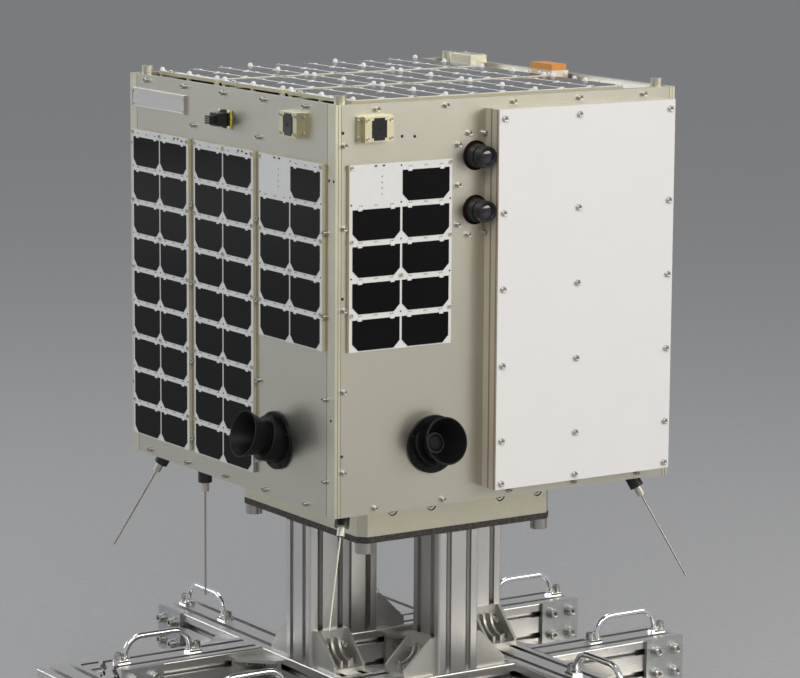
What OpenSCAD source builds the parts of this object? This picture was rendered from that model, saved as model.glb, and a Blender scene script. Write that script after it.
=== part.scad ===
// Cube-shaped Earth observation microsatellite on an extrusion display stand.
// Millimetres, +Z up. The origin is on the floor under the middle of the body.
// The front face looks along -Y and carries the radiator; the left face looks along -X.

/* [Satellite body] */
// Width and depth of the square body
body_w = 500; // [410:1:620]
// Height of the body walls
body_h = 495; // [400:1:620]
// Thickness of the four side panels and the corner posts
wall_t = 8; // [5:0.5:12]
// Thickness of the top and bottom panels
deck_t = 12; // [8:0.5:20]
// Depth of the top panel's surface below the wall tops
deck_recess = 5; // [2:0.5:10]
// Width of a corner post along the left and right faces
post_w = 18; // [12:1:30]
// Width of the block that stands for the equipment inside
block_w = 300; // [200:1:320]
// Height of the block that stands for the equipment inside
block_h = 260; // [150:1:300]

/* [Lifting bosses] */
// Distance of each boss from both faces of its corner
boss_inset = 16.5; // [16.5:0.5:30]
// Diameter of a boss
boss_d = 15; // [12:0.5:16]
// Height of a boss above the top panel
boss_h = 14.5; // [10:0.5:25]
// Diameter of the tapped hole
boss_hole_d = 6.8; // [4.2:0.1:8.5]
// Depth of the tapped hole
boss_hole_l = 12; // [8:0.5:14]

/* [Solar boards] */
// Distance from one row of cells to the next
row_pitch = 43.9; // [36:0.1:48]
// Gap between two rows of cells
row_gap = 6.8; // [4:0.1:8]
// Gap between the two columns of cells
column_gap = 3.2; // [1:0.1:6]
// Length of the chamfer on a cell's corners
cell_chamfer = 8.5; // [2:0.5:12]
// Thickness of a cell above its board
cell_t = 0.6; // [0.3:0.1:1.5]
// Thickness of a board
board_t = 4.4; // [3:0.1:6]
// Margin of a board above its first row
board_head = 9.5; // [6:0.5:12]
// Margin of a board below its last row
board_end = 1.5; // [1:0.5:4]
// Margin of a board beside its cells
board_side = 4.2; // [3:0.1:6]
// Gap between two boards
board_gap = 14; // [8:0.5:20]
// Gap between an outer board and the edge of its face
board_edge_gap = 17.5; // [12:0.5:20]
// Gap between the boards and the wall tops
board_top_gap = 71; // [66:1:90]
// Least gap below the boards
board_bottom_gap = 24; // [14:1:40]
// Shift of the left face's boards toward the rear
left_board_shift = 5; // [0:0.5:6]
// Shift of the front face's board from the left face's spacing
front_board_shift = -0.8; // [-3:0.1:3]
// Rows on each of the two short boards
short_rows = 5; // [2:1:6]
// Gap between the top boards and the left wall
top_board_gap = 33; // [20:1:45]
// Space kept beside the top boards for the antenna units
top_unit_space = 60; // [55:1:80]
// Height of the feet under the top boards
board_foot_h = 3; // [1:0.5:8]
// Diameter of the feet under the top boards
board_foot_d = 7; // [4:0.5:7]

/* [Radiator] */
// Gap between the radiator and the right edge of the face
radiator_edge_gap = 21; // [12:0.5:40]
// Gap between the radiator and the wall tops
radiator_top_gap = 13; // [8:0.5:40]
// Gap below the radiator
radiator_bottom_gap = 16.5; // [10:0.5:40]
// Thickness of the base sheet
radiator_base_t = 11; // [6:0.5:16]
// Thickness of the film stack behind the middle sheet
inner_film_t = 3; // [1:0.5:5]
// Thickness of the middle sheet
radiator_middle_t = 9.5; // [5:0.5:14]
// Thickness of the film stack behind the front sheet
outer_film_t = 2.5; // [1:0.5:5]
// Thickness of the front sheet
radiator_front_t = 3; // [2:0.5:6]
// Distance of the films inside the sheets' edges
film_inset = 1.5; // [0.5:0.5:5]

/* [Earth cameras] */
// Diameter of a camera's hole in the front panel
camera_hole_d = 36; // [33:0.5:44]
// Diameter of a barrel's rear part
barrel_rear_d = 28; // [24:0.5:32]
// Length of a barrel's rear part in front of the panel
barrel_rear_l = 14; // [6:0.5:16]
// Diameter of a barrel's front part
barrel_front_d = 26; // [18:0.5:30]
// Length of a barrel in front of the panel
barrel_l = 27; // [20:0.5:34]
// Diameter of the glass in a barrel
lens_d = 21; // [12:0.5:22]
// Depth of the glass in a barrel
lens_depth = 3; // [1:0.5:8]
// Distance from the front board to the cameras' axes
camera_gap = 36.5; // [24:0.5:40]
// Distance from the wall tops to the upper camera's axis
camera_drop = 69.5; // [50:0.5:90]
// Distance between the two cameras' axes
camera_pitch = 66; // [58:0.5:90]
// Clearance between the barrels and the radiator
barrel_clearance = 0.5; // [0.5:0.5:6]
// Width of a camera's housing behind the panel
housing_w = 56; // [48:1:57]
// Depth of a camera's housing behind the panel
housing_l = 40; // [20:1:60]

/* [Star trackers] */
// Diameter of a tracker's flange
flange_d = 71.5; // [62:0.5:76]
// Thickness of a tracker's flange
flange_t = 4; // [2:0.5:6]
// Diameter of the drum behind the baffle
drum_d = 56; // [48:0.5:60]
// Diameter of the waist between drum and baffle
waist_d = 42; // [36:0.5:46]
// Outer diameter of the baffle's mouth
mouth_d = 58; // [46:0.5:64]
// Thickness of the baffle at its mouth
baffle_t = 1.6; // [1:0.1:3]
// Diameter of the hollow at the lens
baffle_lens_d = 26; // [16:0.5:30]
// Angle of a tracker's axis above the horizon
tracker_pitch = 15; // [0:1:20]
// Length of the left tracker along its axis
left_tracker_l = 50; // [44:0.5:66]
// Length of the left tracker's drum
left_drum_l = 22; // [18:0.5:26]
// Distance of the left tracker from the front edge
left_tracker_inset = 133; // [60:0.5:160]
// Height of the left tracker on its face
left_tracker_z = 73.7; // [50:0.1:90]
// Length of the front tracker along its axis
front_tracker_l = 34; // [30:0.5:50]
// Length of the front tracker's drum
front_drum_l = 9; // [9:0.5:14]
// Distance of the front tracker from the left edge
front_tracker_inset = 139; // [60:0.5:160]
// Height of the front tracker on its face
front_tracker_z = 77.7; // [50:0.1:90]

/* [Sensors and units] */
// Width of a sun sensor's base
sun_w = 50; // [40:0.5:60]
// Height of a sun sensor
sun_h = 30; // [24:0.5:36]
// Depth of a sun sensor
sun_t = 12; // [8:0.5:16]
// Thickness of a sun sensor's base
sun_base_t = 3; // [2:0.5:5]
// Width of the ears of a sun sensor's base
sun_ear_w = 5; // [3:0.5:8]
// Width of a sun sensor's window
sun_window_w = 21; // [16:0.5:27]
// Height of a sun sensor's window
sun_window_h = 27; // [18:0.5:27]
// Size of the notch in the window's corners
sun_notch = 3; // [2:0.5:6]
// Depth of the window
sun_window_depth = 1.5; // [0.5:0.5:3]
// Distance of the front sun sensor from the left edge
front_sun_inset = 53.5; // [34:0.5:90]
// Distance of the left sun sensor from the front edge
left_sun_inset = 88; // [40:0.5:120]
// Distance from the wall tops to the sun sensors' centres
sun_drop = 29.5; // [20:0.5:40]
// Width of the nameplate
nameplate_w = 137; // [80:1:140]
// Height of the nameplate
nameplate_h = 24; // [16:0.5:30]
// Thickness of the nameplate
nameplate_t = 3; // [1:0.5:4]
// Distance of the nameplate from the rear edge
nameplate_inset = 10; // [6:0.5:40]
// Distance from the wall tops to the nameplate's centre
nameplate_drop = 30; // [20:0.5:40]
// Width of the service connector's shell
connector_w = 18; // [12:0.5:24]
// Height of the service connector's shell
connector_h = 16; // [10:0.5:20]
// Length of the service connector's shell
connector_l = 18; // [10:0.5:24]
// Length of the service connector's nose
connector_nose_l = 9; // [4:0.5:14]
// Step from the shell to the nose on each side
connector_step = 3; // [1:0.5:5]
// Gap between the nameplate and the service connector
connector_gap = 90; // [40:1:110]
// Width of the patch antenna's radiator
patch_w = 48; // [30:0.5:60]
// Depth of the patch antenna's radiator
patch_l = 23; // [16:0.5:24]
// Height of the patch antenna's radiator
patch_h = 8; // [6:0.5:16]
// Height of the patch antenna's bracket
patch_bracket_h = 9.5; // [4:0.5:14]
// Margin of the bracket around the radiator
patch_bracket_rim = 2; // [0.5:0.5:3]
// Shift of the patch antenna toward the front
patch_shift = 13; // [0:1:40]
// Gap between the patch antenna and the right wall
patch_gap = 3; // [1:0.5:10]
// Width of the receiver box
receiver_w = 48; // [30:0.5:60]
// Depth of the receiver box
receiver_l = 26; // [16:0.5:28]
// Height of the receiver box
receiver_h = 15; // [8:0.5:24]
// Distance of the receiver box from the rear edge
receiver_inset = 50; // [40:0.5:90]

/* [Antennas] */
// Distance of the whips from both faces of their corner
whip_inset = 34.5; // [20:0.5:40]
// Angle of the whips from the vertical
whip_cant = 30; // [0:1:40]
// Diameter of an antenna's cup
cup_d = 18; // [12:0.5:24]
// Length of an antenna's cup
cup_l = 21; // [8:0.5:24]
// Diameter of an antenna's ferrule
ferrule_d = 10; // [6:0.5:14]
// Length of an antenna's ferrule
ferrule_l = 12; // [6:0.5:20]
// Diameter of an antenna's rod
rod_d = 2.4; // [1.6:0.1:4]
// Length of a canted whip's rod
whip_rod_l = 118; // [60:1:160]
// Length of the upright monopole's rod
monopole_rod_l = 137; // [80:1:200]
// Distance of the monopole from the left face
monopole_inset = 24; // [20:0.5:40]
// Distance of the monopole behind the middle of the body
monopole_y = 101; // [60:1:150]

/* [Adapter] */
// Width of the square adapter ring
adapter_w = 292; // [230:1:346]
// Height of the adapter ring
adapter_h = 56.5; // [40:0.5:80]
// Thickness of the adapter ring's walls
adapter_wall = 22; // [16:0.5:30]
// Chamfer of the adapter ring's corners
adapter_chamfer = 10; // [4:0.5:16]
// Diameter of the round recesses in the adapter ring
recess_d = 14; // [8:0.5:20]
// Depth of the round recesses
recess_depth = 8; // [3:0.5:14]
// Distance from the middle of the pattern to the inner recesses
recess_inner = 52.5; // [20:0.5:60]
// Distance from the inner to the outer recesses
recess_step = 58; // [20:0.5:60]
// Distance from the outermost recess to the ring's chamfer
recess_rim = 7; // [0.5:0.5:10]
// Distance from the ring's top to the recesses
recess_drop = 26.5; // [12:0.5:28]
// Thickness of the insulating plate
insulator_t = 8; // [5:0.5:16]
// Overhang of the insulating plate
insulator_overhang = 0.5; // [0:0.5:8]
// Diameter of the cap screws' heads
cap_d = 22; // [16:0.5:26]
// Height of the cap screws' heads
cap_h = 14; // [8:0.5:20]
// Width across flats of the cap screws' sockets
cap_socket = 10; // [6:0.5:12]
// Depth of the cap screws' sockets
cap_socket_depth = 7; // [4:0.5:7]
// Distance of the cap screws from the plate's edges
cap_inset = 13; // [13:0.5:20]

/* [Stand] */
// Width of the square extrusions
beam_w = 60; // [50:1:72]
// Height of the four columns
column_h = 183.5; // [150:0.5:260]
// Distance from the middle to the columns' axes
column_offset = 118; // [98:1:142]
// Distance from the middle to the ends of the base
base_reach = 358; // [300:1:460]
// Distance of the ground rails inside the ends of the base
rail_inset = 12; // [0:1:30]
// Width of a T-slot's mouth
slot_mouth = 8; // [6:0.5:9]
// Thickness of the lips beside a T-slot's mouth
slot_lip = 4.5; // [2:0.5:5]
// Width of a T-slot's chamber
slot_chamber_w = 16; // [12:0.5:17]
// Depth of a T-slot's chamber
slot_chamber_l = 6; // [4:0.5:6]
// Least wall between two slots' chambers, measured from the corner's diagonal
slot_wall = 0.5; // [0.3:0.1:2]
// Diameter of the tapped bores in the ends of an extrusion
core_bore_d = 6.8; // [5:0.1:8]
// Radius of an extrusion's corners
beam_corner_r = 2.5; // [1:0.5:4]

/* [Brackets and plates] */
// Width of an angle bracket
bracket_w = 46; // [30:1:48]
// Length of an angle bracket's legs
bracket_leg = 47; // [30:1:48]
// Thickness of an angle bracket's legs
bracket_t = 6; // [4:0.5:8]
// Thickness of an angle bracket's side gussets
gusset_t = 4; // [3:0.5:6]
// Height of the lip at the ends of the gussets
gusset_lip = 9; // [7:0.5:14]
// Width and height of a joining plate
plate_w = 60; // [40:1:72]
// Thickness of a joining plate
plate_t = 5; // [3:0.5:8]

/* [Handles] */
// Distance between the legs of a handle
handle_span = 95; // [70:1:110]
// Height of a handle
handle_h = 36; // [28:1:50]
// Diameter of a handle's bar
handle_bar_d = 8; // [6:0.5:12]
// Bend radius of a handle's bar
handle_bend_r = 24; // [10:0.5:24]
// Width of a handle's pads
pad_w = 15; // [12:0.5:20]
// Thickness of a handle's pads
pad_t = 4; // [2:0.5:6]
// Distance from a leg to the middle of its pad's round end
pad_reach = 10; // [6:0.5:16]
// Distance from the end of the base to the middle of a handle
handle_inset = 70; // [68:1:84]

/* [Levelling feet] */
// Height of a levelling foot
foot_h = 30; // [24:1:50]
// Diameter of a foot's pad
foot_pad_d = 50; // [30:1:60]
// Height of a foot's pad
foot_pad_h = 8; // [5:0.5:12]
// Diameter of a foot's stud
foot_stud_d = 12; // [8:0.5:16]
// Width across flats of a foot's nut
foot_nut_w = 19; // [17:0.5:26]
// Height of a foot's nut
foot_nut_h = 8; // [5:0.5:10]

/* [Hidden] */

// Smoothness of round shapes
$fn = 48;
// Extra length of a cutting shape past the surface that it cuts
over = 1;

// Heights of the layers of the stand, from the floor up
rail_z = foot_h;
beam_z = rail_z + beam_w;
column_z = beam_z + beam_w;
insulator_z = column_z + column_h;
adapter_z = insulator_z + insulator_t;
body_z = adapter_z + adapter_h;
body_top = body_z + body_h;
deck_top = body_top - deck_recess;

// Half sizes that many parts share
half_body = body_w / 2;
half_inside = half_body - wall_t;
half_beam = beam_w / 2;
// The chambers of neighbouring slots keep clear of each other in the corners
chamber_l = min(slot_chamber_l, beam_w / 4 - slot_mouth / 2 - slot_lip - slot_wall);
chamber_w = min(slot_chamber_w, beam_w / 2 - 2 * (slot_lip + chamber_l / 3 + slot_wall));
plate_h = min(plate_w, beam_w);
half_insulator = adapter_w / 2 + insulator_overhang;
beam_inner = column_offset - half_beam;
beam_outer = column_offset + half_beam;
rail_centre = base_reach - rail_inset - half_beam;

// Turns that carry the front face to the other faces
FRONT = 0;
RIGHT = 90;
REAR = 180;
LEFT = -90;

// Corners of the body as signs of X and Y, and the stand's sides as quarter turns from the left
CORNERS = ["front_left", "front_right", "rear_right", "rear_left"];
CORNER_SIGNS = [[-1, -1], [1, -1], [1, 1], [-1, 1]];
SIDES = ["left", "rear", "right", "front"];

// Solar boards: three stand side by side between the edges of a face
board_w = (body_w - 2 * board_edge_gap - 2 * board_gap) / 3;
board_pitch = board_w + board_gap;
cell_w = (board_w - 2 * board_side - column_gap) / 2;
cell_l = row_pitch - row_gap;
side_space = body_h - board_top_gap - board_bottom_gap;
side_rows = rows_in(side_space);
top_space = body_w - top_board_gap - top_unit_space;
top_rows = rows_in(top_space);
front_board_x = front_board_shift - board_pitch;
// Length of a board with this many rows
function board_l(rows) = board_head + rows * row_pitch - row_gap + board_end;
// How many rows fit in a space
function rows_in(space) = floor((space - board_head + row_gap - board_end) / row_pitch);

// Cameras and radiator: the barrels stand between the front board and the radiator
camera_x = front_board_x + board_w / 2 + camera_gap;
camera_z = body_h - camera_drop;
radiator_x = camera_x + max(barrel_rear_d, barrel_front_d) / 2 + barrel_clearance;
radiator_w = half_body - radiator_edge_gap - radiator_x;
radiator_h = body_h - radiator_top_gap - radiator_bottom_gap;
inner_film_y = radiator_base_t;
radiator_middle_y = inner_film_y + inner_film_t;
outer_film_y = radiator_middle_y + radiator_middle_t;
radiator_front_y = outer_film_y + outer_film_t;

// Colours
BARE = [0.66, 0.66, 0.64];
ALODINE = [0.80, 0.76, 0.62];
GOLD = [0.83, 0.70, 0.38];
BOARD_WHITE = [0.86, 0.86, 0.82];
RADIATOR_WHITE = [0.91, 0.91, 0.88];
AMBER = [0.60, 0.38, 0.16];
BLACK = [0.05, 0.05, 0.06];
ORANGE = [0.85, 0.42, 0.12];
EXTRUSION = [0.75, 0.76, 0.78];
CAST = [0.70, 0.70, 0.68];
ZINC = [0.62, 0.66, 0.70];
CHROME = [0.85, 0.86, 0.88];
BROWN = [0.25, 0.15, 0.10];

// Puts its children on one face of the body: X runs to the right along the face,
// -Y points away from it and Z starts at the bottom of the walls.
module on_face(turn)
    rotate([0, 0, turn])
        translate([0, -half_body, body_z])
            children();

// Draws a flat outline in X and Z, as thick as t toward -Y
module sheet(t)
    rotate([90, 0, 0])
        linear_extrude(t)
            children();

// A block that starts on the face and reaches t away from it, with a centred outline
module face_block(w, h, t)
    translate([-w / 2, -t, -h / 2])
        cube([w, t, h]);

// ---------- Body ----------

module side_panel(turn, width) {
    on_face(turn)
        translate([-width / 2, 0, 0])
            cube([width, wall_t, body_h]);
}

module front_panel()
    color(BARE)
        difference() {
            side_panel(FRONT, 2 * half_inside);
            on_face(FRONT)
                for (i = [0, 1])
                    translate([camera_x, wall_t + over, camera_z - i * camera_pitch])
                        rotate([90, 0, 0])
                            cylinder(d = camera_hole_d, h = wall_t + 2 * over);
        }

module rear_panel()
    color(BARE)
        side_panel(REAR, 2 * half_inside);

module left_panel()
    color(BARE)
        side_panel(LEFT, body_w - 2 * post_w);

module right_panel()
    color(BARE)
        side_panel(RIGHT, body_w - 2 * post_w);

module deck(z)
    translate([-half_inside, -half_inside, z])
        cube([2 * half_inside, 2 * half_inside, deck_t]);

module top_panel()
    color(BARE)
        deck(deck_top - deck_t);

module bottom_panel()
    color(BARE)
        deck(body_z);

module corner_post(signs)
    color(ALODINE)
        translate([
            signs[0] * (half_body - wall_t / 2) - wall_t / 2,
            signs[1] * (half_body - post_w / 2) - post_w / 2,
            body_z
        ])
            cube([wall_t, post_w, body_h]);

module equipment_block()
    color(BARE)
        translate([-block_w / 2, -block_w / 2, body_z + deck_t])
            cube([block_w, block_w, block_h]);

module top_bosses()
    color(ALODINE)
        for (signs = CORNER_SIGNS)
            translate([
                signs[0] * (half_body - boss_inset),
                signs[1] * (half_body - boss_inset),
                deck_top
            ])
                difference() {
                    cylinder(d = boss_d, h = boss_h);
                    translate([0, 0, boss_h - boss_hole_l])
                        cylinder(d = boss_hole_d, h = boss_hole_l + over);
                }

// ---------- Solar boards ----------

// One cell with both corners of its far end cut, centred on X and running toward -Y
module cell_outline()
    polygon([
        [-cell_w / 2, 0],
        [cell_w / 2, 0],
        [cell_w / 2, cell_chamfer - cell_l],
        [cell_w / 2 - cell_chamfer, -cell_l],
        [cell_chamfer - cell_w / 2, -cell_l],
        [-cell_w / 2, cell_chamfer - cell_l]
    ]);

// A board that lies flat with its first row at Y = 0 and the other rows toward -Y.
// Where bare is true, the first place of the first row has no cell.
module solar_board(rows, bare = false) {
    linear_extrude(board_t)
        translate([-board_w / 2, -board_l(rows)])
            square([board_w, board_l(rows)]);
    for (row = [0:rows - 1], side = [-1, 1])
        if (!(bare && row == 0 && side == -1))
            translate([
                side * (cell_w + column_gap) / 2,
                -board_head - row * row_pitch,
                0
            ])
                linear_extrude(board_t + cell_t)
                    cell_outline();
}

// A board on a face, with x as its middle
module face_board(turn, x, rows, bare = false)
    on_face(turn)
        translate([x, 0, body_h - board_top_gap])
            rotate([90, 0, 0])
                solar_board(rows, bare);

module left_solar_panel_rear()
    color(BOARD_WHITE)
        face_board(LEFT, -board_pitch - left_board_shift, side_rows);

module left_solar_panel_middle()
    color(BOARD_WHITE)
        face_board(LEFT, -left_board_shift, side_rows);

module left_solar_panel_front()
    color(BOARD_WHITE)
        face_board(LEFT, board_pitch - left_board_shift, short_rows, true);

module front_solar_panel()
    color(BOARD_WHITE)
        face_board(FRONT, front_board_x, short_rows, true);

module three_boards(turn)
    color(BOARD_WHITE)
        for (i = [-1:1])
            face_board(turn, i * board_pitch, side_rows);

// The top boards stand on feet at both ends and at every third seam
module top_solar_panels()
    color(BOARD_WHITE)
        for (i = [-1:1])
            translate([top_board_gap - half_body, i * board_pitch, deck_top + board_foot_h])
                rotate([0, 0, 90]) {
                    solar_board(top_rows);
                    for (x = [-1:1], y = top_foot_rows())
                        translate([x * (board_w - board_foot_d) / 2, y, -board_foot_h])
                            cylinder(d = board_foot_d, h = board_foot_h + board_t / 2);
                }

function top_foot_rows() = [
    -board_foot_d / 2,
    for (row = [3:3:top_rows - 1]) row_gap / 2 - board_head - row * row_pitch,
    board_foot_d / 2 - board_l(top_rows)
];

// ---------- Radiator ----------

module radiator_sheet(y, t, inset = 0)
    on_face(FRONT)
        translate([radiator_x + inset, -y - t, radiator_bottom_gap + inset])
            cube([radiator_w - 2 * inset, t, radiator_h - 2 * inset]);

module radiator_base()
    color(RADIATOR_WHITE)
        radiator_sheet(0, radiator_base_t);

module radiator_middle()
    color(RADIATOR_WHITE)
        radiator_sheet(radiator_middle_y, radiator_middle_t);

module radiator_front()
    color(RADIATOR_WHITE)
        radiator_sheet(radiator_front_y, radiator_front_t);

module radiator_films()
    color(AMBER) {
        radiator_sheet(inner_film_y, inner_film_t, film_inset);
        radiator_sheet(outer_film_y, outer_film_t, film_inset);
    }

// ---------- Cameras, trackers and sensors ----------

// A housing behind the panel and a stepped barrel through its hole
module earth_cameras()
    color(BLACK)
        on_face(FRONT)
            for (i = [0, 1])
                translate([camera_x, 0, camera_z - i * camera_pitch]) {
                    translate([-housing_w / 2, wall_t, -housing_w / 2])
                        cube([housing_w, housing_l, housing_w]);
                    difference() {
                        rotate([90, 0, 0]) {
                            translate([0, 0, -wall_t - over])
                                cylinder(d = barrel_rear_d, h = wall_t + over + barrel_rear_l);
                            cylinder(d = barrel_front_d, h = barrel_l);
                        }
                        translate([0, lens_depth - barrel_l, 0])
                            rotate([90, 0, 0])
                                cylinder(d = lens_d, h = lens_depth + over);
                    }
                }

// A flange on the face and a hollow baffle that looks outward and a little up.
// Points of the outlines are [radius, distance along the axis].
module star_tracker(length, drum_l) {
    lens_l = drum_l - flange_t / 2;
    rim_r = mouth_d / 2 - baffle_t;
    slope = (rim_r - baffle_lens_d / 2) / (length - lens_l);
    difference() {
        intersection() {
            union() {
                rotate([90, 0, 0])
                    cylinder(d = flange_d, h = flange_t, $fn = 96);
                rotate([90 - tracker_pitch, 0, 0])
                    rotate_extrude($fn = 96)
                        polygon([
                            [0, -drum_d / 2],
                            [drum_d / 2, -drum_d / 2],
                            [drum_d / 2, drum_l - flange_t / 2],
                            [drum_d / 2 - flange_t / 2, drum_l],
                            [waist_d / 2, drum_l],
                            [waist_d / 2, drum_l + flange_t / 2],
                            [mouth_d / 2, length],
                            [0, length]
                        ]);
            }
            translate([-flange_d, -2 * length, -flange_d])
                cube([2 * flange_d, 2 * length, 2 * flange_d]);
        }
        rotate([90 - tracker_pitch, 0, 0])
            rotate_extrude($fn = 96)
                polygon([
                    [0, lens_l],
                    [baffle_lens_d / 2, lens_l],
                    [rim_r + slope * over, length + over],
                    [0, length + over]
                ]);
    }
}

module left_star_tracker()
    color(BLACK)
        on_face(LEFT)
            translate([half_body - left_tracker_inset, 0, left_tracker_z])
                star_tracker(left_tracker_l, left_drum_l);

module front_star_tracker()
    color(BLACK)
        on_face(FRONT)
            translate([front_tracker_inset - half_body, 0, front_tracker_z])
                star_tracker(front_tracker_l, front_drum_l);

// The sensor's window is a rectangle with its corners notched
module sun_sensor()
    difference() {
        union() {
            face_block(sun_w, sun_h, sun_base_t);
            face_block(sun_w - 2 * sun_ear_w, sun_h, sun_t);
        }
        translate([0, sun_window_depth - sun_t, 0])
            sheet(sun_window_depth + over) {
                square([sun_window_w, sun_window_h - 2 * sun_notch], center = true);
                square([sun_window_w - 2 * sun_notch, sun_window_h], center = true);
            }
    }

module left_sun_sensor()
    color(GOLD)
        on_face(LEFT)
            translate([half_body - left_sun_inset, 0, body_h - sun_drop])
                sun_sensor();

module front_sun_sensor()
    color(GOLD)
        on_face(FRONT)
            translate([front_sun_inset - half_body, 0, body_h - sun_drop])
                sun_sensor();

nameplate_x = nameplate_inset + nameplate_w / 2 - half_body;
connector_x = nameplate_x + nameplate_w / 2 + connector_gap + connector_w / 2;

module nameplate()
    color(CHROME)
        on_face(LEFT)
            translate([nameplate_x, 0, body_h - nameplate_drop])
                face_block(nameplate_w, nameplate_h, nameplate_t);

module service_connector()
    color(BLACK)
        on_face(LEFT)
            translate([connector_x, 0, body_h - nameplate_drop - nameplate_h / 2 + connector_h / 4]) {
                face_block(connector_w, connector_h, connector_l);
                face_block(
                    connector_w - 2 * connector_step,
                    connector_h - 2 * connector_step,
                    connector_l + connector_nose_l
                );
            }

// ---------- Units on the top panel ----------

// A block on the top panel against the right wall, with y as its middle
module deck_block(y, w, l, z, h, gap)
    translate([half_inside - gap - l, y - w / 2, deck_top + z])
        cube([l, w, h]);

module patch_antenna()
    color(ORANGE) {
        bracket_w_y = patch_w + 2 * patch_bracket_rim;
        bracket_l_x = patch_l + 2 * patch_bracket_rim;
        deck_block(-patch_shift, bracket_w_y, bracket_l_x, 0, patch_bracket_h, patch_gap);
        deck_block(
            -patch_shift, patch_w, patch_l, patch_bracket_h - over, patch_h + over,
            patch_gap + patch_bracket_rim
        );
    }

module receiver_box()
    color(ALODINE)
        deck_block(
            half_body - receiver_inset - receiver_w / 2,
            receiver_w, receiver_l, 0, receiver_h, 0
        );

// ---------- Antennas ----------

// A cup, a ferrule and a rod that hang from Z = 0, canted toward +X and cut flush at the top
module antenna(rod_l, cant)
    intersection() {
        rotate([0, -cant, 0]) {
            translate([0, 0, -cup_l])
                cylinder(d = cup_d, h = cup_l + cup_d / 2);
            translate([0, 0, -cup_l - ferrule_l])
                cylinder(d = ferrule_d, h = ferrule_l + over);
            translate([0, 0, -cup_l - ferrule_l - rod_l])
                cylinder(d = rod_d, h = rod_l + over, $fn = 24);
        }
        translate([-cup_d, -cup_d, -2 * rod_l])
            cube([cup_d + rod_l, 2 * cup_d, 2 * rod_l]);
    }

module whip_antennas()
    color(BLACK)
        for (signs = CORNER_SIGNS)
            translate([
                signs[0] * (half_body - whip_inset),
                signs[1] * (half_body - whip_inset),
                body_z
            ])
                rotate([0, 0, atan2(signs[1], signs[0])])
                    antenna(whip_rod_l, whip_cant);

module monopole_antenna()
    color(BLACK)
        translate([monopole_inset - half_body, monopole_y, body_z])
            antenna(monopole_rod_l, 0);

// ---------- Adapter ----------

// A square with its corners chamfered
module chamfered_square(w, chamfer) {
    half = w / 2;
    polygon([
        [-half, chamfer - half], [chamfer - half, -half],
        [half - chamfer, -half], [half, chamfer - half],
        [half, half - chamfer], [half - chamfer, half],
        [chamfer - half, half], [-half, half - chamfer]
    ]);
}

module adapter_ring()
    color(BARE)
        difference() {
            translate([0, 0, adapter_z])
                linear_extrude(adapter_h)
                    difference() {
                        chamfered_square(adapter_w, adapter_chamfer);
                        chamfered_square(adapter_w - 2 * adapter_wall, adapter_chamfer);
                    }
            for (turn = [FRONT, RIGHT, REAR, LEFT], side = [-1, 1], step = [0, 1])
                rotate([0, 0, turn])
                    translate([
                        recess_shift + side * (recess_inner + step * recess_step),
                        recess_depth - adapter_w / 2,
                        body_z - recess_drop
                    ])
                        rotate([90, 0, 0])
                            cylinder(d = recess_d, h = recess_depth + over);
        }

// The recesses' pattern lies off the middle, toward the chamfer that its last recess is next to
recess_shift = adapter_w / 2 - adapter_chamfer - recess_rim - recess_d / 2 - recess_inner - recess_step;

module insulating_plate()
    color(BROWN)
        translate([0, 0, insulator_z])
            linear_extrude(insulator_t)
                chamfered_square(2 * half_insulator, adapter_chamfer);

module adapter_screws()
    color(BLACK)
        for (signs = CORNER_SIGNS)
            translate([
                signs[0] * (half_insulator - cap_inset),
                signs[1] * (half_insulator - cap_inset),
                insulator_z - cap_h
            ])
                difference() {
                    cylinder(d = cap_d, h = cap_h);
                    translate([0, 0, -over])
                        cylinder(d = cap_socket / cos(30), h = cap_socket_depth + over, $fn = 6);
                }

// ---------- Stand ----------

// The hollow of one T-slot that opens toward +Y at Y = 0
module slot_outline()
    polygon([
        [-slot_mouth / 2, over],
        [-slot_mouth / 2, -slot_lip],
        [-chamber_w / 2, -slot_lip],
        [-chamber_w / 2, -slot_lip - chamber_l / 3],
        [-slot_mouth / 2, -slot_lip - chamber_l],
        [slot_mouth / 2, -slot_lip - chamber_l],
        [chamber_w / 2, -slot_lip - chamber_l / 3],
        [chamber_w / 2, -slot_lip],
        [slot_mouth / 2, -slot_lip],
        [slot_mouth / 2, over]
    ]);

// Cross-section of an extrusion with two T-slots on each side and a bore behind each pair
module extrusion_outline()
    difference() {
        union() {
            square([beam_w, beam_w - 2 * beam_corner_r], center = true);
            square([beam_w - 2 * beam_corner_r, beam_w], center = true);
            for (signs = CORNER_SIGNS)
                translate(signs * (half_beam - beam_corner_r))
                    circle(r = beam_corner_r, $fn = 24);
        }
        for (turn = [0:90:270], side = [-1, 1])
            rotate(turn)
                translate([side * beam_w / 4, half_beam])
                    slot_outline();
        for (signs = CORNER_SIGNS)
            translate(signs * beam_w / 4)
                circle(d = core_bore_d, $fn = 24);
    }

// An extrusion along Y at x, from y0 to y1, with its underside at z
module beam_y(x, y0, y1, z)
    color(EXTRUSION)
        translate([x, y1, z + half_beam])
            rotate([90, 0, 0])
                linear_extrude(y1 - y0)
                    extrusion_outline();

// Turns the left side's piece to another side of the stand
module quarter(side)
    rotate([0, 0, -90 * side])
        children();

module stand_column(side)
    color(EXTRUSION)
        quarter(side)
            translate([-column_offset, 0, column_z])
                linear_extrude(column_h)
                    extrusion_outline();

// Each long beam butts against the next one, so the four make a pinwheel around the middle
module base_beam(side)
    quarter(side)
        beam_y(-column_offset, -beam_inner, base_reach, beam_z);

// Each short arm carries on the line of the long beam that ends at the next corner
module outrigger_arm(side)
    quarter(side)
        rotate([0, 0, 90])
            beam_y(column_offset, beam_outer, base_reach, beam_z);

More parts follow.
